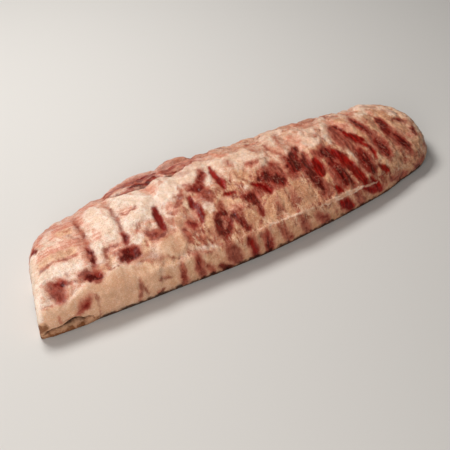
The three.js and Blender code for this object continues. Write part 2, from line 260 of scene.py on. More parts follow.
PLATES = [  # middle: along, round; half sizes: along, round; height
    (-70, 46, 15, 12, 1.2), (-104, 100, 26, 22, 0.9), (22, 104, 24, 14, 0.9),
    (98, 100, 16, 20, 1.0), (-178, 43, 9, 11, -0.5), (-147, 46, 10, 8, -0.6),
    (-112, 53, 9, 7, -0.5), (-76, 76, 4, 17, -0.6), (-33, 98, 9, 9, -0.6),
    (-17, 49, 9, 12, -0.7), (38, 74, 18, 12, -0.8), (77, 84, 11, 18, -0.8),
    (93, 66, 6, 10, -0.7), (127, 86, 9, 18, -0.4), (126, 50, 6, 20, -1.0),
    (194, 66, 7, 16, -0.7),
]
PLATE_SLOPE = (0.75, 1.15)


def to_nearest_crease(x, round_):
    """Distance to the nearest crease; a crease drifts along the rack on its way round."""
    return np.min(np.abs((x - CREASE_DRIFT(round_))[..., None] - RIB_EDGES[1:-1]), axis=-1)


def lobe_relief(rib, x, round_):
    nearest = to_nearest_crease(x, round_)
    furrow = np.exp(-(nearest / CREASE_WIDTH) ** 2)
    swell = 1 - np.exp(-(nearest / LOBE_FADE) ** 2)
    depth = CREASE_DEPTH(rib) * (1 + CREASE_UNEVENNESS * np.sin(CREASE_RHYTHM * np.round(rib)))
    return LOBE_SWELL * swell - depth * CREASE_SHARE(round_) * furrow


def outside_relief(rib, x, round_, whole, roll):
    from_back = whole - BACK_FADE[0] - ROLL_FADE * np.minimum(roll * 3, 1)
    clear = stretch(round_, FRONT_FADE, (from_back, from_back + BACK_FADE[0] - BACK_FADE[1]))
    lobes = smoothstep(round_, *FULL_LOBES_ROUND) * (1 - FRONT_LOBE_SHARE) + FRONT_LOBE_SHARE
    relief = lobe_relief(rib, x, round_) * lobes
    cap = 1 - smoothstep(round_ - FAT_CAP_EDGE(x), *FAT_CAP_SLOPE)
    relief += FAT_CAP_RISE * stretch(x, *FAT_CAP_ENDS) * cap
    from_band = (round_ - BAND_ROUND) / BAND_HALF_WIDTH
    relief += BAND_RISE * stretch(x, *BAND_ENDS) * np.exp(-from_band**2)
    for height, along, around, phase in WAVES:
        relief += height * np.sin(x / along + round_ / around + phase)
    for plate_x, plate_round, along, around, height in PLATES:
        away = np.hypot((x - plate_x) / along, (round_ - plate_round) / around)
        relief += height * (1 - smoothstep(away, *PLATE_SLOPE))
    return relief * clear


# %% Place the whole skin
RIB_RIDGE_HEIGHT = 1.6
ARCH_SHARES = ((0.16, 0.34), (0.66, 0.84))


def skin(rib, at_outside, at_underside):
    """Points of the outside and the underside, and how far round each outside point lies."""
    x = middle_x(rib)
    roll = roll_weight(slanted_x(rib, BACK_Y(rib)))
    gap = stretch(slanted_x(rib, FRONT_Y(rib)), GAP_OPENS, GAP_CLOSES)
    plain = along_spline(slice_points(rib, 0 * rib, 0 * rib)[0], at_outside)
    steps = np.linalg.norm(np.diff(plain, axis=0), axis=-1)
    round_ = np.concatenate([np.zeros((1, len(rib))), np.cumsum(steps, axis=0)])
    outside_control, underside_control = slice_points(rib, roll, gap)
    outside = along_spline(outside_control, at_outside)
    along = np.gradient(outside, axis=0)
    along /= np.maximum(np.linalg.norm(along, axis=-1, keepdims=True), 1e-9)
    relief = outside_relief(rib, x, round_, round_[-1], roll)
    outside = outside + relief[..., None] * np.stack([-along[..., 1], along[..., 0]], -1)
    underside = along_spline(underside_control, at_underside)
    across = (underside[..., 0] - FRONT_Y(rib)) / (BACK_Y(rib) - FRONT_Y(rib))
    ridges = RIB_RIDGE_HEIGHT * np.sin(np.pi * (rib % 1)) ** 2 * stretch(across, *ARCH_SHARES)
    underside = underside - ridges[..., None] * np.array([0, 1])
    return lay_slices(rib, outside), lay_slices(rib, underside), round_


# %% [markdown]
# ## From a flat grid to the skin
# bmesh makes a flat grid, and we roll it round the rack like dough: its columns become slices and
# its rows run along the rack. Rows and columns stand about a millimetre apart where the rack is
# seen, so that small forms can be modelled and not only painted. Extra columns at both ends shrink
# to one point each, which closes the cut faces.

# %% Choose the rows and columns
COLUMN_STEP = 1.16
ROW_STEP = 1.12
UNDER_ROW_STEP = 3.0
END_STEPS = [0.06, 0.1, 0.16, 0.25, 0.35, 0.5, 0.7, 0.9]
WIDE_CAP_RINGS = 18
NARROW_CAP_RINGS = 12
TYPICAL_RIB = 6.5
SAMPLES_PER_POINT = 40
JUST_BEFORE_END = 1e-6


def even_spacing(curve_points, step):
    """Curve parameters that stand a step apart along one typical slice."""
    count = len(curve_points)
    fine = np.linspace(0, count - 1 - JUST_BEFORE_END, (count - 1) * SAMPLES_PER_POINT)
    points = along_spline(curve_points, fine)[:, 0]
    length = np.concatenate([[0], np.cumsum(np.linalg.norm(np.diff(points, axis=0), axis=-1))])
    rows = int(length[-1] / step)
    return np.interp(np.linspace(0, length[-1], rows + 1), length, fine)


typical_outside, typical_underside = slice_points(np.array([TYPICAL_RIB]), np.zeros(1), np.zeros(1))
at_outside = even_spacing(typical_outside, ROW_STEP)
at_underside = even_spacing(typical_underside, UNDER_ROW_STEP)[1:]
end_x = np.concatenate([[0], np.cumsum(END_STEPS)])
middle_length = NARROW_END_X - WIDE_END_X - 2 * end_x[-1]
middle_columns = int(middle_length / COLUMN_STEP)
column_x = np.concatenate([
    WIDE_END_X + end_x,
    WIDE_END_X + end_x[-1] + middle_length * np.arange(1, middle_columns) / middle_columns,
    NARROW_END_X - end_x[::-1],
])
column_rib = np.interp(column_x, RIB_EDGES, np.arange(RIB_COUNT + 1.0))
print(len(column_x), "columns,", len(at_outside), "rows outside,", len(at_underside), "underneath")

# %% Work out every place on the skin, in millimetres
outside, underside, round_outside = skin(column_rib, at_outside, at_underside)
rings = np.concatenate([outside, underside])
centre_x = (rings[..., 0].min() + rings[..., 0].max()) / 2
centre_y = (rings[..., 1].min() + rings[..., 1].max()) / 2
rack_centre = np.array([centre_x, centre_y, rings[..., 2].min()])
print("the form measures", np.round(np.ptp(rings.reshape(-1, 3), axis=0), 1), "mm")
print("its centre in the drawing is", np.round(rack_centre, 2))

# %% Close the ends and roll the grid
ring_centres = {"wide": rings[:, 0].mean(axis=0), "narrow": rings[:, -1].mean(axis=0)}
wide_shrink = np.arange(WIDE_CAP_RINGS) / WIDE_CAP_RINGS
narrow_shrink = np.arange(NARROW_CAP_RINGS)[::-1] / NARROW_CAP_RINGS
shrink = np.concatenate([wide_shrink, np.ones(len(column_x)), narrow_shrink])
source = np.clip(np.arange(len(shrink)) - WIDE_CAP_RINGS, 0, len(column_x) - 1)
column_count, row_count = len(shrink), len(rings)

places = rings[:, source]
middles = np.where((source == 0)[:, None], ring_centres["wide"], ring_centres["narrow"])
cut_depth = np.linalg.norm(places - middles, axis=-1) * (1 - shrink)
places = middles + (places - middles) * shrink[:, None] - rack_centre

underneath = np.arange(row_count) >= len(at_outside)
under_steps = np.linalg.norm(np.diff(rings[underneath], axis=0), axis=-1)
round_under = -np.concatenate([np.cumsum(under_steps[::-1], axis=0)[::-1], 0 * under_steps[:1]])
round_all = np.concatenate([round_outside, round_under])[:, source]

bm = bmesh.new()
bmesh.ops.create_grid(bm, x_segments=column_count - 1, y_segments=row_count - 1, size=1)
layers = {name: bm.verts.layers.float.new(name) for name in ("along", "round", "cut", "under")}
for vertex in bm.verts:
    column = round((vertex.co.x + 1) / 2 * (column_count - 1))
    row = round((vertex.co.y + 1) / 2 * (row_count - 1))
    vertex.co = places[row, column] * MM
    vertex[layers["along"]] = column_x[source[column]]
    vertex[layers["round"]] = round_all[row, column]
    vertex[layers["cut"]] = cut_depth[row, column]
    vertex[layers["under"]] = underneath[row]
bmesh.ops.remove_doubles(bm, verts=bm.verts, dist=0.001 * MM)
bmesh.ops.recalc_face_normals(bm, faces=bm.faces)
open_edges = sum(1 for edge in bm.edges if len(edge.link_faces) != 2)
print("skin:", len(bm.verts), "points,", len(bm.faces), "faces,", open_edges, "open edges")


# %% Make the piece
def add_object(name, data):
    made = bpy.data.objects.new(name, data)
    bpy.context.scene.collection.objects.link(made)
    return made


rack_mesh = bpy.data.meshes.new("rib_rack_meat")
bm.to_mesh(rack_mesh)
bm.free()
rack = add_object("rib_rack_meat", rack_mesh)
rack_mesh.polygons.foreach_set("use_smooth", [True] * len(rack_mesh.polygons))
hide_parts("rib_rack")
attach(rack, "root")


# %% Read the skin's own coordinates back
def read_attribute(name):
    values = np.empty(len(rack_mesh.vertices))
    rack_mesh.attributes[name].data.foreach_get("value", values)
    return values


def read_places():
    flat = np.empty(len(rack_mesh.vertices) * 3)
    rack_mesh.vertices.foreach_get("co", flat)
    return flat.reshape(-1, 3) / MM


CUT_RIM = (0.5, 2.5)
along, round_at = read_attribute("along"), read_attribute("round")
cut, under = read_attribute("cut"), read_attribute("under")
outer = (1 - under) * (1 - smoothstep(cut, *CUT_RIM))
on_outside, on_underside = outer > 0.5, under > 0.5
print("the skin runs", round(round_at.max(), 1), "mm round its outside")


# %% [markdown]
# ## Where the meat, blood and fat show
# On real ribs the butcher has cut through the fat here and there, and dark meat shows in patches,
# streaks and furrows. We place each patch as a stroke: a chain of dabs, each with its
# place along the rack, its place round it and its half width, all in millimetres. For every point
# of the skin we keep how deep it lies inside the nearest stroke of a kind. The material turns that
# depth into a ragged edge, which stays crisp at any zoom, as a painted mask would not. Where the
# photograph shows nothing there are no strokes.

# %% Strokes of dark meat
STROKES = {"dark_meat": [
    [(-178, 50, 1.6), (-172, 47, 2.4)], [(-181, 45, 0.3), (-177, 39, 0.9), (-176, 33, 1.2)],
    [(-111, 74, 1.4), (-110, 69, 2.2), (-110, 65, 1.8)],
    [(-145.5, 73, 1), (-143.5, 66, 1.9), (-142, 54, 1.4)],
    [(-151, 45, 1.2), (-146, 44, 3.6), (-141, 42, 3.8)], [(-85, 63, 0.6), (-82, 61, 1)],
    [(-158, 22, 1.4), (-155, 25, 1.4)], [(-117, 51, 3.4), (-111, 53, 7), (-105, 52, 4.6)],
    [(-92, 133, 2), (-84, 135, 3.4), (-76, 134, 3), (-68, 137, 1.8)], [(-56, 135, 1.6), (-50, 136, 1.4)],
    [(-49, 61, 1.4), (-45, 57, 2)], [(-49, 26, 1.4), (-47, 18, 1.2)],
    [(-41, 96, 2), (-37, 96, 3.8), (-32, 94, 3.6), (-30, 98, 2)],
    [(-31, 103, 2), (-28, 109, 2.6), (-27, 115, 1.4)],
    [(-21.5, 57, 4.2), (-21, 48, 4.6), (-20, 42, 4.4), (-14, 40, 3.8), (-10, 45, 2.2), (-9, 55, 2)],
    [(-17, 59, 1.8), (-12, 58, 1.8)], [(-6, 54, 3.2), (-3, 50, 2.6), (2, 43, 2.4), (7, 36, 3)],
    [(-25, 12, 2), (-20, 7, 3.4), (-15, 4, 2.6)], [(5, 27, 1.8), (9, 17, 3), (12, 7, 3.4)],
    [(10, 66, 3.6), (16, 64, 5.2), (21, 56, 3.2), (23, 45, 2.2)],
    [(24, 25, 1.6), (26, 14, 3), (27, 8, 3)],
    [(29, 81, 3.6), (36, 80, 6.4), (44, 74, 6.6), (52, 67, 4.6)],
    [(25, 74, 3), (32, 70, 4.6), (37, 65, 3.6)],
    [(61, 80, 2.6), (66, 84, 4.4), (71, 90, 6.4), (76, 97, 4.4)],
    [(66, 74, 4.2), (72, 77, 8), (79, 76, 6)],
    [(82, 88, 2.2), (82, 76, 4), (82, 66, 4.8), (85, 57, 5), (88, 47, 4), (91, 38, 2.4)],
    [(102, 77, 4.2), (108, 75, 5.8), (112, 68, 5.2)],
    [(109, 62, 4), (113, 54, 5.4), (116, 44, 5.4), (117, 36, 4.2)], [(121, 41, 1.8), (125, 31, 2.4)],
    [(132, 103, 1.6), (136, 93, 2.2), (141, 80, 2), (146, 70, 1.4)],
    [(143, 58, 4.2), (146, 50, 5.6), (147, 40, 5.2), (150, 33, 3.6)],
    [(158, 98, 2), (161, 90, 4), (165, 79, 3.4), (168, 70, 2)],
    [(169, 60, 2.6), (172, 50, 4.6), (174, 41, 3.6)], [(192, 77, 3.8), (192, 68, 5.2), (191, 59, 4.6)],
    [(196, 51, 3), (198, 44, 4.8), (202, 33, 2.6)], [(216, 66, 2.2), (219, 62, 3)],
    [(223, 47, 3), (221, 42, 2)],
]}

# %% Strokes of fresh red, where the cut is wet
STROKES["fresh_red"] = [
    [(-77, 91, 2), (-77, 82, 3.3), (-76, 74, 3.2), (-74, 65, 2.6)],
    [(-44, 87, 1.6), (-43, 80, 3), (-41, 75, 2)],
    [(-39, 78, 1.6), (-38, 70, 2.9), (-36, 64, 2.9), (-37, 58, 1.6)],
    [(-10, 79, 0.9), (-5, 77.5, 2.4), (1, 77, 1)],
    [(-18, 120, 1), (-17, 112, 2), (-15, 104, 2.6), (-12, 97, 3), (-9, 90, 3), (-8, 86, 1.6)],
    [(20, 78, 1.4), (27, 74, 2.2), (32, 70, 2), (36, 63, 2.4)],
    [(92, 72, 4.2), (93.5, 64, 5.4), (95.5, 58, 5)], [(105, 37, 1.2), (107, 33, 3.2), (111, 30.5, 1.2)],
    [(116, 73, 2.4), (119, 67, 4), (124, 56, 4.4), (129, 46, 4.2), (133, 37, 4.2), (137, 29, 3.4)],
    [(138, 88, 1.4), (144, 80, 2.4), (149, 74, 4), (153, 69, 2.8)],
    [(150, 68, 1.8), (153, 62, 1.8), (157, 57, 2), (159, 49, 2), (159, 44, 1.2)],
    [(159, 36, 1.4), (163, 31, 2.8), (167, 27, 2.6)], [(108, 21, 2), (113, 16, 4.8), (119, 11, 3.8)],
    [(134, 24, 1.6), (141, 19, 2.6), (148, 14, 2.6)], [(145, 28, 1.8), (150, 20, 3), (155, 12, 2.2)],
    [(-195, 110, 1), (-193, 102, 1.8), (-190, 95, 0.8)],
    [(-116, 146, 1.4), (-102, 148, 1.6), (-88, 150, 1.8), (-74, 151, 1.6)],
    [(-50, 150, 1.2), (-40, 149, 1)], [(7, 24, 0.8), (11, 10, 1.2)],
]

# %% Strokes of brown: thin seams, furrows and half-dry edges
STROKES["brown_seam"] = [
    [(-189, 68.5, 1.6), (-183, 69.5, 2), (-178, 71, 1), (-166, 70, 1), (-156, 71, 1.2)],
    [(-192, 32, 0.8), (-184, 32, 1)], [(-170, 48, 0.9), (-163, 45, 1.1), (-154, 42, 1.1)],
    [(-168, 56, 0.7), (-167, 52, 0.9)], [(-162, 96, 0.4), (-156, 92, 0.6), (-151, 88, 1.1)],
    [(-166, 104, 1), (-160, 101, 1.2), (-156, 103, 0.8)], [(-163, 116, 0.9), (-162, 113, 0.8)],
    [(-152, 116, 1.2), (-149.5, 104, 1.5), (-147.5, 97, 2.2), (-146, 88, 1.5), (-145, 80, 2.1),
     (-144.5, 70, 2.5), (-142.5, 60, 2.4), (-141, 54, 1.4)],
    [(-177, 14, 0.6), (-168, 16, 0.6), (-160, 14, 0.6)], [(-180, 22, 0.7), (-179, 14, 0.9)],
    [(-146, 28, 0.4), (-145, 18, 0.5), (-145, 8, 0.4)],
    [(-131, 58, 1.4), (-130, 64, 2), (-124, 66.5, 1.2), (-117, 66, 1)],
    [(-131, 50, 0.7), (-130, 46, 1.2), (-122, 46, 0.7)],
    [(-119, 114, 1.6), (-116.5, 107, 2.3), (-113.5, 95, 1.8), (-112, 86, 1.3), (-111.5, 79, 1.2),
     (-110, 71, 2.3), (-109, 63, 1.6)],
    [(-109, 97, 0.6), (-103, 94.5, 0.9), (-96, 96, 1), (-93.5, 99, 0.9)],
    [(-97, 79, 0.7), (-98, 71, 0.9)], [(-94.5, 79, 0.6), (-95, 74, 0.7)],
    [(-93, 58, 1.2), (-92, 52, 1.1)], [(-103, 44, 0.7), (-97, 41, 1), (-92, 38, 0.9)],
    [(-107, 28, 0.8), (-107, 20, 1.9), (-109, 9, 2.2)],
    [(-106, 26, 0.8), (-103, 19, 1.5), (-100, 12, 1.1)], [(-90, 8.5, 2), (-87, 9, 2.4)],
    [(-89, 22, 0.9), (-82, 20.5, 1.2), (-77, 19, 0.7)],
    [(-87, 40, 0.4), (-78, 37, 0.6), (-70, 34, 0.6), (-64, 31.5, 0.5)],
    [(-86, 66, 0.5), (-82, 67, 0.6), (-77, 66, 0.5)], [(-87, 63, 0.5), (-82, 63.5, 0.6), (-77, 62, 0.5)],
    [(-68, 27, 1.2), (-65, 22, 2), (-65, 12, 2.4), (-64, 6, 2.4)],
    [(-66, 84, 0.6), (-62, 87, 0.7), (-58, 85, 0.6)], [(-65, 80, 1), (-61, 77, 2.2), (-58, 78, 1.4)],
    [(-62.5, 73, 0.6), (-64, 67, 0.6), (-65.5, 60, 0.6)], [(-51.5, 105, 0.7), (-51, 102, 1)],
    [(-49, 99, 1.6), (-52, 92, 3.4), (-54, 86, 3.8), (-58, 82, 2.4)],
    [(-54, 56, 1), (-52, 50, 1.6), (-53, 43, 1)],
    [(-45, 51, 1), (-40, 44, 1.8), (-31, 36, 1.5), (-22, 30, 0.9)],
    [(-39, 54, 0.5), (-34, 48, 0.8), (-29, 42, 0.7)], [(-50, 50, 0.7), (-44, 42, 1.2), (-36, 34, 0.9)],
    [(-44, 32, 0.9), (-39, 29, 1.3), (-34, 28, 0.9)], [(-43, 22, 1), (-37, 14, 1.4), (-33, 10, 0.9)],
    [(-29, 25, 0.7), (-27.5, 19, 0.9)], [(-20, 88, 0.5), (-13, 85, 0.7), (-7, 84, 0.5)],
    [(-16, 72, 1.2), (-15, 63, 1.8)], [(-6, 66, 0.8), (-1, 60, 1.6), (3, 54, 1.2)],
    [(1, 115, 1.4), (2, 108, 1.3)], [(5, 79, 0.6), (9, 75, 0.9), (12, 72, 0.8)],
    [(4, 98, 0.5), (10, 90, 0.8), (14, 84, 0.7)], [(28, 138, 1.2), (28, 132, 1.4)],
    [(30, 124, 0.9), (32, 118, 1.4), (34, 113, 0.8)],
    [(45, 124, 0.9), (48, 113, 1.8), (53, 106, 2.6), (59, 99, 2)],
    [(30, 100, 0.8), (36, 101, 0.6), (42, 100.5, 0.5)], [(43, 97, 1), (46, 91, 1.6)],
    [(62, 131, 1), (61, 122, 1.4), (62, 114, 1)], [(61, 92, 1), (63, 90, 1)],
    [(59, 73, 0.7), (62, 69, 1.3), (64, 65, 0.9)],
    [(50, 60, 0.8), (52, 52, 1.1), (55, 42, 1.2), (59, 33, 1.3), (62, 26, 1.2), (68, 16, 1.2)],
    [(40, 48, 0.6), (43, 42, 1.1), (47, 36, 0.8)], [(36, 29, 0.9), (42, 20, 1.7), (49, 9, 1.9)],
    [(62, 26, 1.1), (65, 18, 2), (70, 9, 2)], [(74, 26, 0.6), (79, 17, 0.9), (82, 9, 0.8)],
    [(82, 19, 1.4), (87, 15, 1.9), (91, 10, 1.5)], [(97, 22, 0.8), (101, 15, 1.3), (104, 9, 1)],
    [(88, 128, 0.8), (93, 118, 0.7), (92, 108, 0.5)], [(102, 102, 1), (103.5, 99, 1.1)],
    [(95, 50, 0.6), (98, 40, 1), (102, 32, 0.8)], [(141, 122, 1.2), (145, 116, 1.5)],
    [(156, 116, 0.9), (161, 110, 1.1)], [(171, 83, 0.8), (177, 87, 0.9)],
    [(181, 62, 0.8), (184, 52, 1), (187, 42, 0.8)], [(207, 67, 1), (214, 70, 1.1)],
    [(203, 24, 0.9), (209, 24, 0.8)], [(170, 15, 1.9), (178, 12, 1.9), (186, 9, 1.8)],
    [(208, 9, 3), (216, 11, 2.6)], [(226, 26, 1.2), (229, 20, 1.4)],
    [(126, 28, 0.9), (131, 19, 1.5), (137, 11, 1.3)], [(158, 22, 0.9), (163, 13, 1.4)],
    [(165, 25, 0.9), (172, 15, 1.3)], [(176, 23, 1), (186, 12, 1.4)], [(184, 31, 0.7), (191, 22, 0.9)],
    [(132, 27, 0.8), (140, 13, 1.1)], [(146, 27, 0.8), (154, 14, 1.1)], [(196, 30, 0.7), (206, 19, 1)],
    [(114, 24, 0.7), (120, 8, 0.9)], [(190, 28, 0.7), (197, 20, 1.1), (203, 13, 0.9)],
]

# %% Strokes of lilac: meat seen through its thin skin
STROKES["lilac_skin"] = [
    [(-183, 50, 4), (-178, 44, 7), (-176, 36, 5.4)], [(-175, 50, 3), (-169, 47, 2)],
    [(-156, 48, 3), (-148, 48, 5.4), (-142, 44, 4.6)], [(-163, 18, 2), (-158, 23, 4.6), (-152, 28, 2.6)],
    [(-119, 57, 3), (-111, 56, 5.4), (-103, 54, 3.4)], [(-89, 66, 4), (-84, 62, 6), (-77, 60, 5)],
    [(-116, 138, 2.4), (-104, 141, 4), (-90, 146, 7), (-76, 147, 7.4), (-68, 145, 5)],
    [(-58, 142, 5), (-50, 146, 4.4)], [(-40, 143, 2), (-30, 146, 2)],
    [(-45, 104, 1.4), (-38, 98, 3.6), (-31, 92, 5), (-27, 84, 6), (-25, 77, 4)],
    [(-28, 118, 2), (-27, 108, 4.2), (-32, 101, 3.6)], [(-56, 57, 2.2), (-53, 46, 2.6)],
    [(-50, 62, 3), (-45, 57, 3)], [(-16, 27, 4), (-12, 19, 7), (-8, 12, 6.4)],
    [(-17, 68, 3), (-16, 60, 2.4)], [(32, 90, 1.4), (38, 87, 4), (47, 85, 5.4), (54, 74, 4.6)],
    [(44, 94, 2), (50, 88, 3)], [(60, 93, 3), (62, 84, 3.4), (66, 72, 4.4), (68, 66, 3)],
    [(84, 84, 2.4), (88, 66, 2.4), (90, 52, 3.4), (95, 38, 2.6)],
    [(92, 81, 3), (99, 77, 3.4), (105, 83, 3.4)],
    [(110, 79, 4), (109, 64, 7.4), (112, 50, 8.4), (114, 38, 6.4)],
    [(127, 101, 5), (129, 90, 7), (133, 78, 7), (138, 67, 4.4)],
    [(21, 102, 1.4), (25, 100, 2.4), (30, 100, 1)], [(14, 68, 4), (26, 68, 5), (38, 66, 5), (50, 66, 4)],
    [(136, 74, 3), (141, 64, 4), (145, 44, 8.4)],
    [(157, 102, 3), (160, 88, 4.4), (165, 72, 4), (171, 54, 8), (175, 38, 4)],
    [(192, 77, 4.6), (191, 62, 7.2), (196, 46, 7.4), (203, 28, 3)],
    [(-66, 27, 1.4), (-65, 16, 3.6), (-63, 7, 4)], [(-50, 30, 3), (-48, 18, 4.4), (-44, 8, 3)],
    [(-38, 16, 2.4), (-33, 8, 2.6)], [(8, 26, 3), (11, 14, 4)],
    [(22, 26, 2.4), (26, 16, 5), (27, 8, 4.4)], [(37, 27, 1.6), (42, 20, 3), (49, 9, 3.4)],
    [(60, 26, 1.6), (65, 17, 3.8), (69, 8, 4)], [(80, 20, 3), (87, 14, 4.6), (91, 8, 3.4)],
    [(106, 24, 2), (113, 16, 6), (120, 9, 5)], [(124, 24, 2), (129, 15, 3), (133, 7, 3)],
    [(136, 26, 3), (146, 19, 6), (156, 12, 4)], [(168, 17, 2.4), (180, 12, 4), (190, 8, 3.4)],
    [(206, 10, 4), (217, 12, 4)],
]

# %% Painted soft shade: thin brown-grey shadows on pale fat
STROKES["painted_soft_shade"] = [
    [(124, 105, 4.4), (127, 92, 8.4), (131, 80, 7), (129, 72, 4)], [(-178, 130, 3), (-176, 120, 2)],
    [(-152, 122, 2), (-149, 98, 2), (-148, 84, 3), (-146, 66, 3.4)], [(-120, 124, 2.4), (-118, 114, 2.6)],
    [(-104, 45, 2.4), (-94, 44, 3), (-84, 38, 2)], [(-66, 72, 2.4), (-60, 66, 3), (-54, 60, 3)],
    [(-46, 122, 2), (-40, 120, 2)], [(12, 142, 3), (16, 132, 2)], [(0, 116, 3), (4, 108, 2)],
    [(28, 136, 2.4), (31, 124, 3), (36, 112, 2.6)], [(44, 112, 1.6), (50, 124, 1.6)],
    [(62, 132, 3), (64, 118, 3.4), (62, 106, 2.4)], [(70, 110, 2), (72, 102, 2.4)],
    [(80, 146, 3), (84, 138, 2)], [(102, 124, 2), (108, 120, 2)], [(98, 104, 1.4), (104, 101, 2.4)],
    [(108, 142, 4), (118, 130, 2.6)], [(136, 122, 2), (144, 118, 3)], [(158, 116, 2.4), (163, 106, 2.6)],
    [(172, 88, 2), (178, 84, 2.4), (180, 76, 2)], [(182, 120, 4)], [(196, 108, 2), (206, 98, 2.4)],
    [(206, 70, 2), (214, 66, 2.4)], [(208, 86, 2), (216, 80, 2)], [(56, 56, 2), (60, 44, 2.4)],
    [(40, 52, 2.4), (43, 40, 2.4)], [(-30, 46, 2.4), (-26, 38, 2)],
    [(-52, 70, 2.6), (-50, 58, 3.4), (-54, 48, 2.6)], [(-131, 63, 2.6), (-132, 50, 3)],
]

# %% Strokes of pink, where the fat is thin
STROKES["pink_fat"] = [
    [(-188, 84, 6), (-172, 82, 8), (-155, 84, 8)], [(-188, 104, 4), (-184, 124, 6)],
    [(-176, 128, 4), (-167, 118, 5)], [(-174, 100, 4), (-160, 102, 6)], [(-153, 124, 6), (-146, 106, 4)],
    [(-140, 132, 6), (-128, 126, 5)], [(-136, 112, 3), (-139, 98, 3)],
    [(-186, 71, 3), (-170, 71, 3), (-154, 72, 3)], [(-136, 82, 4), (-130, 84, 3)],
    [(-128, 62, 4), (-118, 64, 5)], [(-137, 60, 3), (-135, 48, 4)],
    [(-152, 98, 4), (-150, 84, 6), (-149, 70, 6), (-146, 60, 4)],
    [(-90, 56, 4), (-78, 52, 5), (-68, 58, 4)], [(-192, 112, 6), (-172, 108, 7), (-152, 112, 6)],
    [(-104, 97, 6), (-95, 96, 4)], [(-112, 154, 4), (-90, 157, 5), (-66, 157, 5)],
    [(-46, 152, 4), (-30, 150, 4)], [(-120, 128, 4), (-121, 116, 3)], [(-80, 122, 5), (-72, 112, 6)],
    [(-33, 126, 6)], [(-50, 94, 3), (-55, 85, 4)], [(-60, 79, 5)], [(-42, 68, 6), (-38, 84, 4)],
    [(-6, 134, 4.4), (2, 126, 5.4)], [(-10, 72, 4), (-4, 64, 5), (2, 58, 5)],
    [(30, 134, 3), (38, 134, 3)], [(22, 101, 4), (28, 100, 4.4)],
    [(46, 118, 3), (52, 108, 4), (58, 101, 5)], [(-42, 30, 4), (-34, 28, 3)],
    [(74, 114, 5), (82, 106, 5), (86, 96, 4)], [(100, 130, 8), (92, 140, 7)],
    [(128, 116, 6), (138, 104, 5), (142, 96, 6)], [(146, 92, 5), (148, 82, 5)],
    [(155, 52, 4), (161, 62, 4)], [(164, 112, 7), (176, 110, 6)], [(182, 60, 6), (184, 46, 4)],
    [(194, 92, 4), (202, 96, 4), (212, 106, 4)], [(206, 60, 6), (214, 44, 6)], [(228, 22, 4)],
]

# %% Strokes of clean white fat and sinew, and a painted highlight along the roll's top edge
STROKES["white_fat_and_highlight"] = [
    [(-198, 26, 4), (-197, 60, 5), (-196.5, 80, 5), (-194, 98, 3)],
    [(-190, 61, 5), (-176, 61, 5), (-158, 61, 5)], [(-181, 106, 4), (-176, 114, 4)],
    [(-134, 118, 7), (-132, 100, 8), (-124, 90, 8), (-122, 78, 6)], [(-136, 70, 5), (-136, 56, 3)],
    [(-118, 104, 3), (-104, 118, 7), (-96, 110, 7)], [(-102, 86, 7), (-90, 88, 7)],
    [(-92, 108, 7), (-84, 100, 9), (-84, 86, 6)], [(-68, 98, 8), (-62, 106, 9), (-50, 116, 9)],
    [(-46, 106, 5), (-38, 112, 7), (-34, 134, 8), (-24, 130, 7)],
    [(-22, 98, 3.4), (-23, 112, 3.4), (-10, 122, 8)], [(-20, 138, 7), (-34, 140, 6)],
    [(-28, 72, 5), (-26, 66, 3)], [(6, 118, 9), (20, 120, 9), (12, 106, 6)], [(18, 110, 5), (34, 108, 6)],
    [(34, 94, 3), (38, 100, 3)], [(13, 75, 2.6)], [(52, 140, 7), (66, 138, 8)],
    [(54, 120, 4), (54, 128, 4)], [(54, 96, 3), (57, 91, 2)], [(96, 110, 10), (98, 95, 9), (91, 100, 6)],
    [(120, 112, 5), (116, 96, 5), (117, 86, 3)], [(124, 128, 7)],
    [(190, 106, 6), (204, 104, 6), (212, 90, 6), (217, 76, 4)], [(182, 118, 6), (196, 114, 6)],
    [(172, 100, 5), (184, 98, 5)], [(-48, 35.5, 0.8), (-38, 34, 1.2), (-27, 30.5, 1)],
    [(86.5, 75, 0.8), (88, 68, 1)], [(36, 66, 0.9), (36.5, 62.5, 1)],
    [(131, 66, 1.6), (135, 56, 2), (138, 48, 1.4)],
    # A painted highlight along the top edge of the roll.
    [(-112, 159, 1.6), (-90, 163, 1.6), (-60, 164, 1.6), (-30, 163, 1.6)],
]

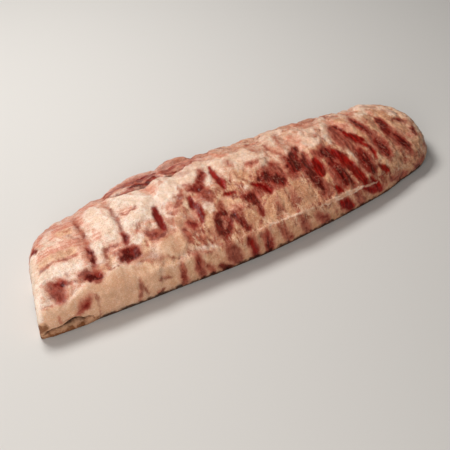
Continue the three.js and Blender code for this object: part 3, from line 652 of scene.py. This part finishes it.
# %% Strokes of cream fat, thin but closed
STROKES["cream_fat"] = [
    [(-104, 46, 4), (-96, 50, 6), (-92, 60, 4)], [(-140, 46, 4), (-130, 52, 5), (-134, 66, 3)],
    [(-100, 38, 4), (-88, 35, 5), (-70, 33, 4)], [(-166, 102, 4), (-158, 101, 4)],
    [(-188, 78, 4), (-174, 76, 4), (-158, 77, 4)], [(-60, 68, 4), (-56, 62, 4)],
    [(-30, 64, 6), (-30, 52, 5), (-32, 44, 4)], [(-10, 70, 3), (-4, 66, 3)], [(8, 96, 5), (14, 90, 5)],
    [(8, 52, 3.4), (14, 44, 6), (12, 38, 5)], [(34, 55, 4), (30, 45, 5), (32, 38, 4)],
    [(47, 57, 3.4), (47, 45, 4.4), (52, 36, 4)], [(62, 60, 3), (68, 50, 6), (76, 40, 6), (68, 37, 4)],
    [(98, 52, 3), (102, 44, 2.4)], [(140, 108, 4), (146, 104, 5)],
    [(131, 68, 2.6), (135, 56, 3.6), (138, 48, 2.6)], [(152, 88, 3), (156, 76, 3), (160, 66, 2)],
    [(178, 104, 6), (180, 92, 8), (178, 78, 6), (182, 70, 5)],
    [(204, 92, 8), (206, 78, 8), (206, 64, 5), (212, 52, 6)], [(180, 62, 3), (184, 52, 3), (186, 44, 3)],
    [(-80, 26, 3), (-76, 14, 5)], [(-57, 24, 3.4), (-55, 12, 4)], [(-38, 21, 5), (-34, 17, 4)],
    [(14, 27, 2.4), (18, 15, 3.4), (20, 8, 2.4)], [(31, 26, 2.4), (35, 15, 3.4), (40, 7, 3)],
    [(47, 27, 2.4), (53, 17, 4.4), (59, 9, 3.4)], [(74, 26, 3), (77, 15, 3.4), (79, 8, 2.4)],
    [(97, 23, 3.4), (96, 13, 4), (102, 7, 3)], [(156, 30, 3), (166, 36, 3)], [(172, 27, 4), (186, 28, 5)],
    [(210, 30, 6), (222, 32, 4)], [(160, 14, 2.4), (166, 9, 3)], [(196, 15, 3), (202, 22, 3)],
]
print("strokes:", sum(map(len, STROKES.values())))

# %% Noise on the skin
SMOOTHING, FINER_BY, OCTAVES = 0.7, 2.0, 3
SEED_STEP = (17.3, 5.1, 9.7)
LEAN = 0.25
UNDER_SHIFT = 60


def cloud(coordinates, *kinds):
    """Smooth noise in mm; each kind is a height, the size of its blobs each way, and a seed."""
    total = 0
    for height, size, seed in kinds:
        shift = Vector([step * seed for step in SEED_STEP])
        scaled = [Vector(place) + shift for place in coordinates / np.array(size, float)]
        total = total + height * np.array([noise.fractal(place, SMOOTHING, FINER_BY, OCTAVES)
                                           for place in scaled])
    return total


skin_at = np.stack([along + LEAN * round_at, round_at, UNDER_SHIFT * under + cut], -1)
solid_at = read_places()
ragged_along = along + cloud(skin_at, (0.9, (5, 9, 9), 1), (0.5, (2, 4, 3), 2))
ragged_round = round_at + cloud(skin_at, (1.5, (6, 11, 9), 3), (0.8, (2, 5, 3), 4))
wander = ragged_round - round_at
print("edges wander by up to", round(float(np.abs(wander).max()), 1), "mm")

# %% How deep each point lies inside the nearest stroke
FAR_OUTSIDE = -12.0


def only_where(place, depth):
    return np.where(place, depth, FAR_OUTSIDE)


def depth_inside(strokes):
    depth = np.full(len(along), FAR_OUTSIDE)
    for dabs in strokes:
        dabs = dabs if len(dabs) > 1 else dabs * 2
        for (x0, r0, w0), (x1, r1, w1) in zip(dabs, dabs[1:]):
            run = np.array([x1 - x0, r1 - r0], float)
            length = max(run @ run, 1e-9)
            t = np.clip(((ragged_along - x0) * run[0] + (ragged_round - r0) * run[1]) / length, 0, 1)
            away = np.hypot(ragged_along - x0 - t * run[0], ragged_round - r0 - t * run[1])
            depth = np.maximum(depth, w0 + t * (w1 - w0) - away)
    return only_where(on_outside, depth)


fields = {name: depth_inside(strokes) for name, strokes in STROKES.items()}
for name, field in fields.items():
    print(name, "covers", round(float((field > 0).mean() * 100), 1), "% of the skin's points")

# %% [markdown]
# ## Edges, bands and openings that follow a line
# Not every tissue is a patch. The tan fat cap on the front ends along one line; its tan, which runs on
# along the lower front face past the cap, is partly the fat's own tone and partly painted shade where
# the front turns from the lamp. A white band of sinew runs beside it, and a crevice parts the roll of
# meat from the slab, painted dark as shade. At the wide end the fat gapes over a gap painted dark as
# shade. Strokes could paint these too, but a line whose width changes along the rack is easier to move.
# Each gives a depth, as the strokes do, so the material treats all alike.

# %% The tan fat cap on the front, partly painted shade, and the disk of fat above it
CAP_END = -88
EDGE_PAST_CAP = 30
EDGE_SINKS, SINKS_BETWEEN = 12, (-40, 30)
DISK_MIDDLE, DISK_HALF = (-70, 46), (15, 13)
# Past the cap the tan runs on along the lower front face as painted shade, where the front turns away
# from the lamp.
cap_edge = np.where(along < CAP_END, FAT_CAP_EDGE(ragged_along), EDGE_PAST_CAP)
cap_depth = cap_edge - ragged_round - EDGE_SINKS * smoothstep(along, *SINKS_BETWEEN)
from_disk = np.hypot((ragged_along - DISK_MIDDLE[0]) / DISK_HALF[0],
                     (ragged_round - DISK_MIDDLE[1]) / DISK_HALF[1])
fields["tan_fat_and_front_shade"] = only_where(on_outside, np.maximum(cap_depth, (1 - from_disk) * DISK_HALF[1]))

# %% The white band
BAND_REACH = (-96, 155)
band_line = profile((-96, 30), (-20, 30), (22, 32), (60, 30), (90, 27), (124, 26), (150, 22))
band_half = profile((-96, -0.2), (-20, 0), (18, 0.3), (26, 1.0), (40, 0.5), (58, 1.1), (72, 0.6),
                    (84, 0.1), (92, 2.0), (104, 1.6), (116, 2.2), (130, 1.2), (146, 0.7), (154, 0.1))
from_line = np.abs(round_at + 0.7 * wander - band_line(along))
on_band = (along > BAND_REACH[0]) & (along < BAND_REACH[1]) & on_outside
fields["white_band"] = only_where(on_band, band_half(along) - from_line)

# %% The gap under the fat at the wide end, painted dark as shade, the lip below it, and a corner of painted shade
LIP_HEIGHTS = (1.2, 6.8)
GAP_END, LIP_END = -150, -146
CORNER_AT, CORNER_HALF = (-196, 13), 4.5
gap_arc = profile((-197, 7.5), (-187, 9), (-178, 11), (-168, 14), (-158, 10), (-149, 7))
gap_depth = np.minimum(gap_arc(along) - round_at, round_at - LIP_HEIGHTS[1])
fields["gap"] = only_where((along < GAP_END) & on_outside, gap_depth)
in_lip = np.minimum(LIP_HEIGHTS[1] - round_at, round_at - LIP_HEIGHTS[0])
lip_depth = np.minimum(in_lip, LIP_END - along)
# The corner below the gap is painted shade: a brown patch where the fat cap lifts off the lip.
corner_depth = CORNER_HALF - np.hypot(0.7 * (along - CORNER_AT[0]), 0.5 * (round_at - CORNER_AT[1]))
fields["lip_and_corner_shade"] = only_where(on_outside, np.maximum(lip_depth, corner_depth))

# %% The crevice in front of the roll, painted dark as shade, and the tone of the back
crevice_line = profile((-120, 141), (-110, 131), (-95, 128), (-84, 127), (-72, 131), (-64, 134),
                       (-58, 129), (-50, 132), (-40, 138), (-30, 141), (-20, 135), (-12, 134))
crevice_width = profile((-110, 1.6), (-96, 3.0), (-72, 3.0), (-62, 1.6))
crevice_size = stretch(along, (-122, -112), (-24, -12)) * outer
from_crevice = np.abs(round_at + 0.5 * wander - crevice_line(along))
fields["crevice"] = crevice_width(along) * crevice_size - from_crevice

BACK_FADES_OVER = 20
back_start = profile((-200, 92), (-150, 98), (-125, 124), (245, 124))
back_tone = profile((-200, 0.35), (-145, 0.35), (-128, 0.6), (-25, 0.6), (0, 0.15), (15, 0.1),
                    (45, 0.05), (75, 0.05), (100, 0.2), (130, 0.35), (185, 0.15), (240, 0.15))
rising = (ragged_round - back_start(along)) / BACK_FADES_OVER
fields["back"] = smoothstep(rising, 0, 1) * back_tone(along) * outer

# %% Painted shade in the furrows between the lobes, stronger where the crease is deeper
FURROW_WIDTH = 2.6
FULL_FURROW_DEPTH = 2.4
rib_at = np.interp(along, RIB_EDGES, np.arange(RIB_COUNT + 1.0))
furrow = np.exp(-(to_nearest_crease(ragged_along, round_at) / FURROW_WIDTH) ** 2)
furrow_size = np.minimum(CREASE_DEPTH(rib_at) / FULL_FURROW_DEPTH, 1)
fields["furrow"] = furrow * furrow_size * stretch(round_at, (28, 44), (84, 112)) * outer

# %% Thin fat, painted contact shade along the feet, the meat between the ribs underneath, and the cut faces
MEATY_ALONG = profile((-200, 0.10), (-100, 0.12), (-70, 0.35), (-40, 0.75), (0, 0.8), (60, 0.72),
                      (110, 0.92), (160, 0.75), (245, 0.7))
MEATY_ROUND = profile((0, 1.0), (6, 0.85), (28, 0.7), (50, 0.85), (80, 0.8), (98, 0.4), (115, 0.22),
                      (135, 0.4), (160, 0.5))
MEATY_UNDERNEATH = 0.3
FOOT_SHADE_HEIGHT, NARROWER_UNDERNEATH = 6, 3
BACK_FOOT_SHADE_FROM = 0.97
MEAT_STRIP_HALF, BARE_RIB_SHARE = 5, 0.45
round_whole = round_at.max()
fields["meaty"] = np.where(on_underside, MEATY_UNDERNEATH, MEATY_ALONG(along) * MEATY_ROUND(round_at))
# Painted contact shade: a dark rim along the lowest millimetres of the front and back edges, a third as
# wide underneath.
from_edge = np.where(on_underside, NARROWER_UNDERNEATH, 1) * np.abs(round_at)
foot_shade_depth = FOOT_SHADE_HEIGHT - from_edge + 2 * wander
fields["foot_shade"] = np.maximum(foot_shade_depth, only_where(~on_underside, round_at - BACK_FOOT_SHADE_FROM * round_whole))
over_a_rib = np.sin(np.pi * (rib_at % 1)) ** 2
fields["between_ribs"] = only_where(on_underside, MEAT_STRIP_HALF * (BARE_RIB_SHARE - over_a_rib))
fields["cut_face"] = cut - CUT_RIM[0]
print("the skin carries", len(fields), "fields")


# %% [markdown]
# ## Fine relief
# Meat that was cut stands a little lower than the fat beside it, and seams are pulled in. On top
# of that the fat is lumpy at the scale of a fingertip and grainy at the scale of a millimetre. A
# bump in the material could fake this, but not at the outline. So we move each point along the
# skin's own direction outwards, which stretches no form.

# %% Move the skin in and out
SOFT_EDGE = (-1.2, 1.4)
TISSUE_HEIGHTS = [  # kind of tissue, how far it stands out in mm, how its edge fades
    ("white_fat_and_highlight", 0.4, SOFT_EDGE), ("tan_fat_and_front_shade", 0.3, SOFT_EDGE), ("white_band", 0.6, (-0.8, 0.8)),
    ("dark_meat", -0.2, SOFT_EDGE), ("fresh_red", -0.35, (-1, 1)), ("brown_seam", -0.15, (-1, 0.8)),
    ("gap", -1.2, (-0.6, 1)), ("crevice", -1.8, (-1.6, 1.4)),
]
CAP_SMOOTHNESS = 0.55
LEAST_STRANDS = 0.4
UNDER_LUMPS = 0.6
tissue = sum(height * smoothstep(fields[name], *fade) for name, height, fade in TISSUE_HEIGHTS)
lumps = cloud(solid_at, (0.6, (14, 15, 14), 5), (0.65, (5.5, 7, 6), 6))
strands = cloud(skin_at, (0.38, (3.2, 8, 6), 7)) * (LEAST_STRANDS + fields["meaty"])
in_wrinkles = stretch(along, (-194, -184), (-156, -146)) * stretch(round_at, (62, 72), (90, 102))
wrinkle_at = np.stack([along, round_at - 0.18 * along, 0 * along], -1)
strands += in_wrinkles * cloud(wrinkle_at, (0.5, (15, 2.6, 9), 8))
smooth_cap = 1 - CAP_SMOOTHNESS * smoothstep(fields["tan_fat_and_front_shade"], *SOFT_EDGE)
off_feet = stretch(round_at, (3, 10), (0.92 * round_whole, 0.98 * round_whole))
off_ends = stretch(along, (WIDE_END_X, WIDE_END_X + 5), (NARROW_END_X - 12, NARROW_END_X - 2))
relief = (tissue + strands) * off_ends * off_feet + lumps * smooth_cap * np.maximum(off_feet, cut > 1)
relief = np.where(on_underside, UNDER_LUMPS * lumps * smoothstep(-round_at, 18, 30), relief)

normals = np.empty(len(rack_mesh.vertices) * 3)
rack_mesh.vertex_normals.foreach_get("vector", normals)
moved = solid_at + relief[:, None] * normals.reshape(-1, 3)
moved[:, 2] = np.maximum(moved[:, 2], 0)
rack_mesh.vertices.foreach_set("co", (moved * MM).ravel())
rack_mesh.update()
print("relief from", round(relief.min(), 2), "to", round(relief.max(), 2), "mm")

# %% Hand the fields to the material
for name, field in fields.items():
    attribute = rack_mesh.attributes.new(name, "FLOAT", "POINT")
    attribute.data.foreach_set("value", field.astype(np.float32))
skin_attribute = rack_mesh.attributes.new("skin_at", "FLOAT_VECTOR", "POINT")
skin_attribute.data.foreach_set("vector", skin_at.astype(np.float32).ravel())
print("attributes handed over:", len(fields) + 1)


# %% [markdown]
# ## The finish
# Raw pork is mostly pale fat with a damp shine, and light goes a little way into it before it
# comes back, so one principled shader with some subsurface does it. Separate materials for meat
# and fat would meet at hard polygon edges. Instead the colour is built in layers, from the fat up:
# each layer reads one field, breaks its edge with fine noise and lays two tones of its own over
# what is below. Underneath, pale membrane covers the ribs and meat shows between them.

# %% Node helpers
material = bpy.data.materials.new("raw_pork")
material.use_nodes = True
rack_mesh.materials.append(material)
nodes, links = material.node_tree.nodes, material.node_tree.links
shader = nodes["Principled BSDF"]


def colour(red, green, blue):
    """A colour as seen on a screen, 0 to 255, made linear for the shader."""
    shown = [part / 255 for part in (red, green, blue)]
    linear = [((part + 0.055) / 1.055) ** 2.4 if part > 0.04045 else part / 12.92 for part in shown]
    return (*linear, 1.0)


def wire(socket, value):
    """Link a socket, or set it; three numbers in round brackets are a screen colour."""
    if isinstance(value, bpy.types.NodeSocket):
        links.new(value, socket)
    else:
        socket.default_value = colour(*value) if isinstance(value, tuple) else value


def add_node(kind, inputs=(), **settings):
    """Add a node with its settings, and wire its inputs, given by name or by number."""
    node = nodes.new("ShaderNode" + kind)
    for name, value in settings.items():
        setattr(node, name, value)
    for name, value in dict(inputs).items():
        wire(node.inputs[name], value)
    return node


def read_field(name, output="Fac"):
    return add_node("Attribute", attribute_name=name).outputs[output]


def maths(operation, first, second=0.0, clamp=False):
    return add_node("Math", {0: first, 1: second}, operation=operation, use_clamp=clamp).outputs[0]


def times(first, second):
    return maths("MULTIPLY", first, second)


def plus(first, second):
    return maths("ADD", first, second)


def minus(first, second, clamp=False):
    return maths("SUBTRACT", first, second, clamp)


MIX_BELOW, MIX_ABOVE, MIX_RESULT = 6, 7, 2


def mixed(share, below, above, blend="MIX"):
    inputs = {"Factor": share, MIX_BELOW: below, MIX_ABOVE: above}
    return add_node("Mix", inputs, data_type="RGBA", blend_type=blend).outputs[MIX_RESULT]


def tinted(share, below, tint):
    """Multiply a share of what is below by a tint, as a stain does."""
    return mixed(share, below, tint, "MULTIPLY")


def contrast(value, low, high):
    """Spread the stretch from low to high over 0 to 1, with soft ends."""
    inputs = {"Value": value, "From Min": low, "From Max": high}
    return add_node("MapRange", inputs, interpolation_type="SMOOTHSTEP").outputs["Result"]


def dappled(below, value, low, high, strength, tone):
    """Lay a tone over what is below, wherever a grain runs from low to high."""
    return mixed(times(contrast(value, low, high), strength), below, tone)


# %% Grains of several sizes, in the skin's own millimetres
on_skin = read_field("skin_at", "Vector")
object_place = add_node("TexCoord").outputs["Object"]
in_space = add_node("VectorMath", {0: object_place, "Scale": 1 / MM}, operation="SCALE").outputs[0]
SEED_SHIFT = (3.17, 1.13, 7.1)


def grain(size, seed, longer=1.0, detail=3.0, roughness=0.55, distortion=0.0, place=in_space):
    """Noise in blobs of a size in mm, drawn out so many times along y or round the rack."""
    shift = [seed * step for step in SEED_SHIFT]
    scale = [1 / size, 1 / (size * longer), 1 / size]
    spread = add_node("Mapping", {"Vector": place, "Location": shift, "Scale": scale})
    inputs = {"Vector": spread.outputs[0], "Scale": 1.0, "Detail": detail,
              "Roughness": roughness, "Distortion": distortion}
    return add_node("TexNoise", inputs).outputs["Fac"]


along_skin = add_node("SeparateXYZ", {0: on_skin}).outputs["X"]
towards_narrow_end = contrast(along_skin, -70, 60)
fine_grain = grain(1.0, 1, detail=2)
edge_grain = grain(5, 2, longer=1.5, detail=4, distortion=0.5, place=on_skin)
fibre_grain = grain(1.9, 3, longer=6, detail=2, distortion=0.2, place=on_skin)
strand_grain = grain(3.4, 4, longer=2.0, detail=4, roughness=0.6, distortion=0.5, place=on_skin)
streak_grain = grain(2.6, 11, longer=4.5, detail=3, distortion=0.3, place=on_skin)
marble_grain = grain(9, 7, longer=1.7, detail=5, roughness=0.6, distortion=0.9, place=on_skin)
vein_grain = grain(9, 8, longer=1.6, detail=4, distortion=0.6, place=on_skin)
wrinkle_grain = grain(15, 9, longer=0.17, detail=4, distortion=0.3, place=on_skin)
broad_grain = grain(24, 5, detail=2)
patch_grain = grain(8, 6, detail=4, roughness=0.6, distortion=0.5)
lump_grain = grain(4.5, 10, detail=3)
fibres = contrast(fibre_grain, 0.38, 0.62)
mottles = contrast(patch_grain, 0.38, 0.62)
wrinkles = contrast(wrinkle_grain, 0.42, 0.58)
meat_pattern = mixed(towards_narrow_end, mottles, fibres)
combed = times(minus(fibre_grain, 0.5), plus(towards_narrow_end, 0.15))


# %% Layers and blushes
def layer(below, name, dark, light, softness, raggedness, strength, pattern=mottles, fray=0.0,
          middle=0.5):
    """Lay one kind of tissue, or a painted shade, over what is below it, darker towards its middle."""
    depth = plus(read_field(name), times(minus(edge_grain, 0.5), raggedness))
    if fray > 0:
        depth = plus(depth, times(combed, fray))
    share = times(contrast(depth, -softness, softness), strength)
    towards_middle = times(contrast(depth, 0.0, 2.5 * softness), middle)
    lighter = minus(pattern, towards_middle, clamp=True)
    return mixed(share, below, mixed(lighter, dark, light))


def blush(below, name, reach, tone, strength):
    """Let a colour bleed softly out of one kind of tissue, or out of painted shade, into what is round
    it.
    """
    return dappled(below, read_field(name), -reach, 0.6, strength, tone)


# %% The fat below everything
meaty = read_field("meaty")
white = mixed(contrast(broad_grain, 0.38, 0.62), (238, 213, 195), (226, 191, 170))
white = dappled(white, patch_grain, 0.48, 0.60, 0.65, (216, 144, 118))
# Painted shade, in spots set by the grain that also shapes the lumps' bump.
white = dappled(white, lump_grain, 0.51, 0.61, 0.45, (204, 164, 132))
# Painted highlights, in spots set by the same grain.
white = dappled(white, lump_grain, 0.46, 0.36, 0.5, (252, 236, 220))
thin = mixed(contrast(marble_grain, 0.38, 0.50), (238, 202, 166), (204, 150, 116))
thin = dappled(thin, patch_grain, 0.50, 0.62, 0.5, (200, 116, 94))
more_meat = times(minus(meaty, 0.5), 0.18)
thin = dappled(thin, plus(marble_grain, more_meat), 0.50, 0.60, 0.8, (130, 48, 38))
thin = dappled(thin, streak_grain, 0.51, 0.62, 0.5, (150, 64, 48))
thin = dappled(thin, streak_grain, 0.46, 0.36, 0.5, (244, 212, 182))
from_vein = maths("ABSOLUTE", minus(vein_grain, 0.5))
veins = times(contrast(from_vein, 0.018, 0.004), contrast(strand_grain, 0.46, 0.56))
thin = mixed(times(veins, 0.75), thin, (116, 26, 20))
thinness = contrast(plus(meaty, times(minus(marble_grain, 0.5), 1.2)), 0.12, 0.62)
fat = mixed(thinness, white, thin)
tip = mixed(contrast(patch_grain, 0.42, 0.58), (244, 214, 186), (208, 156, 128))
tip = dappled(tip, lump_grain, 0.56, 0.64, 0.7, (140, 72, 56))
fat = mixed(contrast(along_skin, 212, 246), fat, tip)
print("nodes for the fat:", len(nodes))

# %% Pale tissues, and films over them
leftwards = times(wrinkles, minus(1.0, towards_narrow_end))
wrinkled = plus(leftwards, times(mottles, towards_narrow_end))
base = layer(fat, "pink_fat", (210, 132, 108), (238, 192, 168), 3.5, 9.0, 0.8, wrinkled)
base = layer(base, "cream_fat", (204, 152, 118), (238, 198, 160), 2.2, 7.0, 0.8)
# Tan over the fat cap and the lower front face: partly the fat's own tone, partly painted shade where the
# front turns from the lamp.
base = layer(base, "tan_fat_and_front_shade", (206, 156, 120), (232, 192, 158), 4.5, 7.0, 0.8)
# White fat, and the painted highlight along the roll's top edge.
base = layer(base, "white_fat_and_highlight", (234, 205, 182), (254, 243, 230), 2.6, 8.0, 0.8)
base = tinted(towards_narrow_end, base, (250, 238, 230))
base = dappled(base, fine_grain, 0.46, 0.34, 0.2, (255, 236, 222))
base = tinted(read_field("back"), base, (209, 152, 148))
# Painted soft shade: brown-grey shadows bleed out of their strokes onto the pale fat.
base = blush(base, "painted_soft_shade", 3.4, (172, 108, 88), 0.48)
# Painted shade in the furrows, brownish, stronger where the crease is deeper.
base = mixed(times(read_field("furrow"), 0.6), base, (168, 92, 68))

# %% Meat, from its thin skin to the fresh cuts, with pale sinews where it is dark
wet_red = mixed(towards_narrow_end, (128, 14, 11), (162, 20, 13))
base = blush(base, "lilac_skin", 4.5, (190, 112, 90), 0.5)
base = layer(base, "lilac_skin", (118, 38, 30), (176, 92, 74), 2.2, 8.0, 0.85, meat_pattern, 5.0, 0.35)
base = layer(base, "brown_seam", (122, 38, 26), (184, 104, 80), 1.8, 5.5, 0.8)
base = blush(base, "dark_meat", 4.0, (166, 76, 60), 0.6)
base = layer(base, "dark_meat", (72, 6, 5), (138, 40, 31), 1.8, 7.0, 0.93, meat_pattern, 4.0, 0.3)
sinews = contrast(maths("ABSOLUTE", minus(marble_grain, 0.53)), 0.012, 0.003)
sinews = times(sinews, plus(times(towards_narrow_end, 0.2), 0.12))
base = mixed(sinews, base, (226, 168, 144))
base = blush(base, "fresh_red", 2.6, (146, 44, 32), 0.65)
base = layer(base, "fresh_red", (104, 2, 1), wet_red, 1.3, 2.2, 0.93, fibres, 0.9, 0.3)
base = layer(base, "between_ribs", (106, 26, 20), (170, 80, 64), 1.6, 5.0, 0.85, fibres, 2.0)

# %% Edges, openings and cut faces
# Painted shade in the crevice between the roll and the slab, in dark red.
base = layer(base, "crevice", (80, 8, 6), (150, 48, 38), 1.4, 4.0, 0.7)
base = layer(base, "white_band", (226, 172, 142), (250, 220, 196), 0.7, 2.2, 0.85)
# Painted contact shade along the feet, where the rack meets the floor.
base = layer(base, "foot_shade", (20, 4, 2), (72, 27, 16), 2.4, 3.0, 0.9)
# The lip below the gap, and painted shade in the corner beside it.
base = layer(base, "lip_and_corner_shade", (124, 76, 46), (214, 168, 134), 1.0, 1.2, 0.9)
# Painted shade in the gap under the fat.
base = layer(base, "gap", (44, 16, 8), (104, 60, 34), 0.9, 1.6, 0.95)
cut_tissue = mixed(contrast(patch_grain, 0.44, 0.56), (176, 100, 80), (222, 176, 146))
rind = contrast(plus(read_field("cut_face"), times(edge_grain, 3.0)), 8.0, 4.5)
cut_tissue = mixed(rind, cut_tissue, (246, 218, 192))
base = mixed(contrast(read_field("cut_face"), -0.5, 0.8), base, cut_tissue)
speck_strength = minus(0.5, times(contrast(read_field("tan_fat_and_front_shade"), -3, 3), 0.3))
specks = times(contrast(fine_grain, 0.52, 0.66), speck_strength)
base = tinted(specks, base, (196, 158, 144))
wire(shader.inputs["Base Color"], base)
print("nodes for the colour:", len(nodes))

# %% Shine, depth and grain of the surface
for name, value in {"Subsurface Weight": 0.1, "Subsurface Radius": (1.0, 0.35, 0.2),
                    "Subsurface Scale": 0.002, "IOR": 1.38, "Specular IOR Level": 0.09,
                    "Coat Weight": 0.06, "Coat Roughness": 0.1}.items():
    shader.inputs[name].default_value = value
dampness = {"Value": patch_grain, "From Min": 0.4, "From Max": 0.6, "To Min": 0.26, "To Max": 0.46}
rough_foot_shade = times(contrast(read_field("foot_shade"), -3, 1), 0.4)
wire(shader.inputs["Roughness"], plus(add_node("MapRange", dampness).outputs["Result"], rough_foot_shade))

height = plus(lump_grain, times(fine_grain, 0.4))
height = plus(height, times(strand_grain, plus(meaty, 0.3)))
height = plus(height, times(fibre_grain, times(meaty, 0.4)))
bump = add_node("Bump", {"Distance": 0.7 * MM, "Strength": 0.8, "Height": height})
wire(shader.inputs["Normal"], bump.outputs["Normal"])
print("nodes in all:", len(nodes))

# %% [markdown]
# ## The room and the view
# The rack lies on a plain pale floor. A large soft lamp stands high behind its wide end, as in the
# photograph, where the back edge is brightest and the narrow end falls into shade. A second lamp in
# front only fills the shadows, so it isn't mirrored in the damp skin. The camera looks from the
# front left and well from above, so that the rack runs up to the right.

# %% The floor
FLOOR_HALF = 6
FLOOR_TONE = (0.66, 0.65, 0.635, 1)
FLOOR_ROUGHNESS = 0.8
floor_bm = bmesh.new()
bmesh.ops.create_grid(floor_bm, x_segments=1, y_segments=1, size=FLOOR_HALF)
floor_mesh = bpy.data.meshes.new("floor")
floor_bm.to_mesh(floor_mesh)
floor_bm.free()
floor = add_object("floor", floor_mesh)
floor_material = bpy.data.materials.new("pale_floor")
floor_material.use_nodes = True
floor_shader = floor_material.node_tree.nodes["Principled BSDF"]
floor_shader.inputs["Base Color"].default_value = FLOOR_TONE
floor_shader.inputs["Roughness"].default_value = FLOOR_ROUGHNESS
floor_mesh.materials.append(floor_material)


# %% Lamps
ROOM_TONE = (1.0, 0.97, 0.94, 1)
ROOM_STRENGTH = 0.11


def lamp(name, place, target, size, power, tint, mirrored):
    """Place a soft lamp of a size in metres and a power in watts, turned towards a target."""
    light = bpy.data.lights.new(name, "AREA")
    light.shape = "RECTANGLE"
    light.size, light.size_y = size
    light.energy = power
    light.color = tint
    lamp_object = add_object(name, light)
    lamp_object.location = place
    lamp_object.visible_glossy = mirrored
    towards = Vector(target) - Vector(place)
    lamp_object.rotation_euler = towards.to_track_quat("-Z", "Y").to_euler()
    print(name, "lamp:", power, "W from", place)


lamp("key", place=(-0.22, 0.50, 0.86), target=(0.0, 0.0, 0.02), size=(0.5, 0.35), power=8.9,
     tint=(1.0, 0.97, 0.93), mirrored=True)
lamp("fill", place=(-0.75, -0.75, 0.55), target=(-0.05, 0, 0), size=(0.7, 0.7), power=7.4,
     tint=(1.0, 0.95, 0.90), mirrored=False)
world = bpy.data.worlds.new("room")
world.use_nodes = True
background = world.node_tree.nodes["Background"]
background.inputs["Color"].default_value = ROOM_TONE
background.inputs["Strength"].default_value = ROOM_STRENGTH
bpy.context.scene.world = world

# %% The camera
VIEW_DISTANCE = 0.85
VIEW_HEIGHT_ANGLE = math.radians(40)
VIEW_TURN = math.radians(32)
LENS, SENSOR = 72, 36
towards_camera = Vector((-math.sin(VIEW_TURN) * math.cos(VIEW_HEIGHT_ANGLE),
                         -math.cos(VIEW_TURN) * math.cos(VIEW_HEIGHT_ANGLE),
                         math.sin(VIEW_HEIGHT_ANGLE)))
look_at = Vector((-rack_centre[0] * MM, -rack_centre[1] * MM, 0))
camera_data = bpy.data.cameras.new("camera")
camera_data.lens, camera_data.sensor_width = LENS, SENSOR
camera = add_object("camera", camera_data)
camera.location = look_at + towards_camera * VIEW_DISTANCE
camera.rotation_euler = (-towards_camera).to_track_quat("-Z", "Y").to_euler()
bpy.context.scene.camera = camera
bpy.context.scene.view_settings.view_transform = "Standard"
print("camera at", [round(part, 3) for part in camera.location])
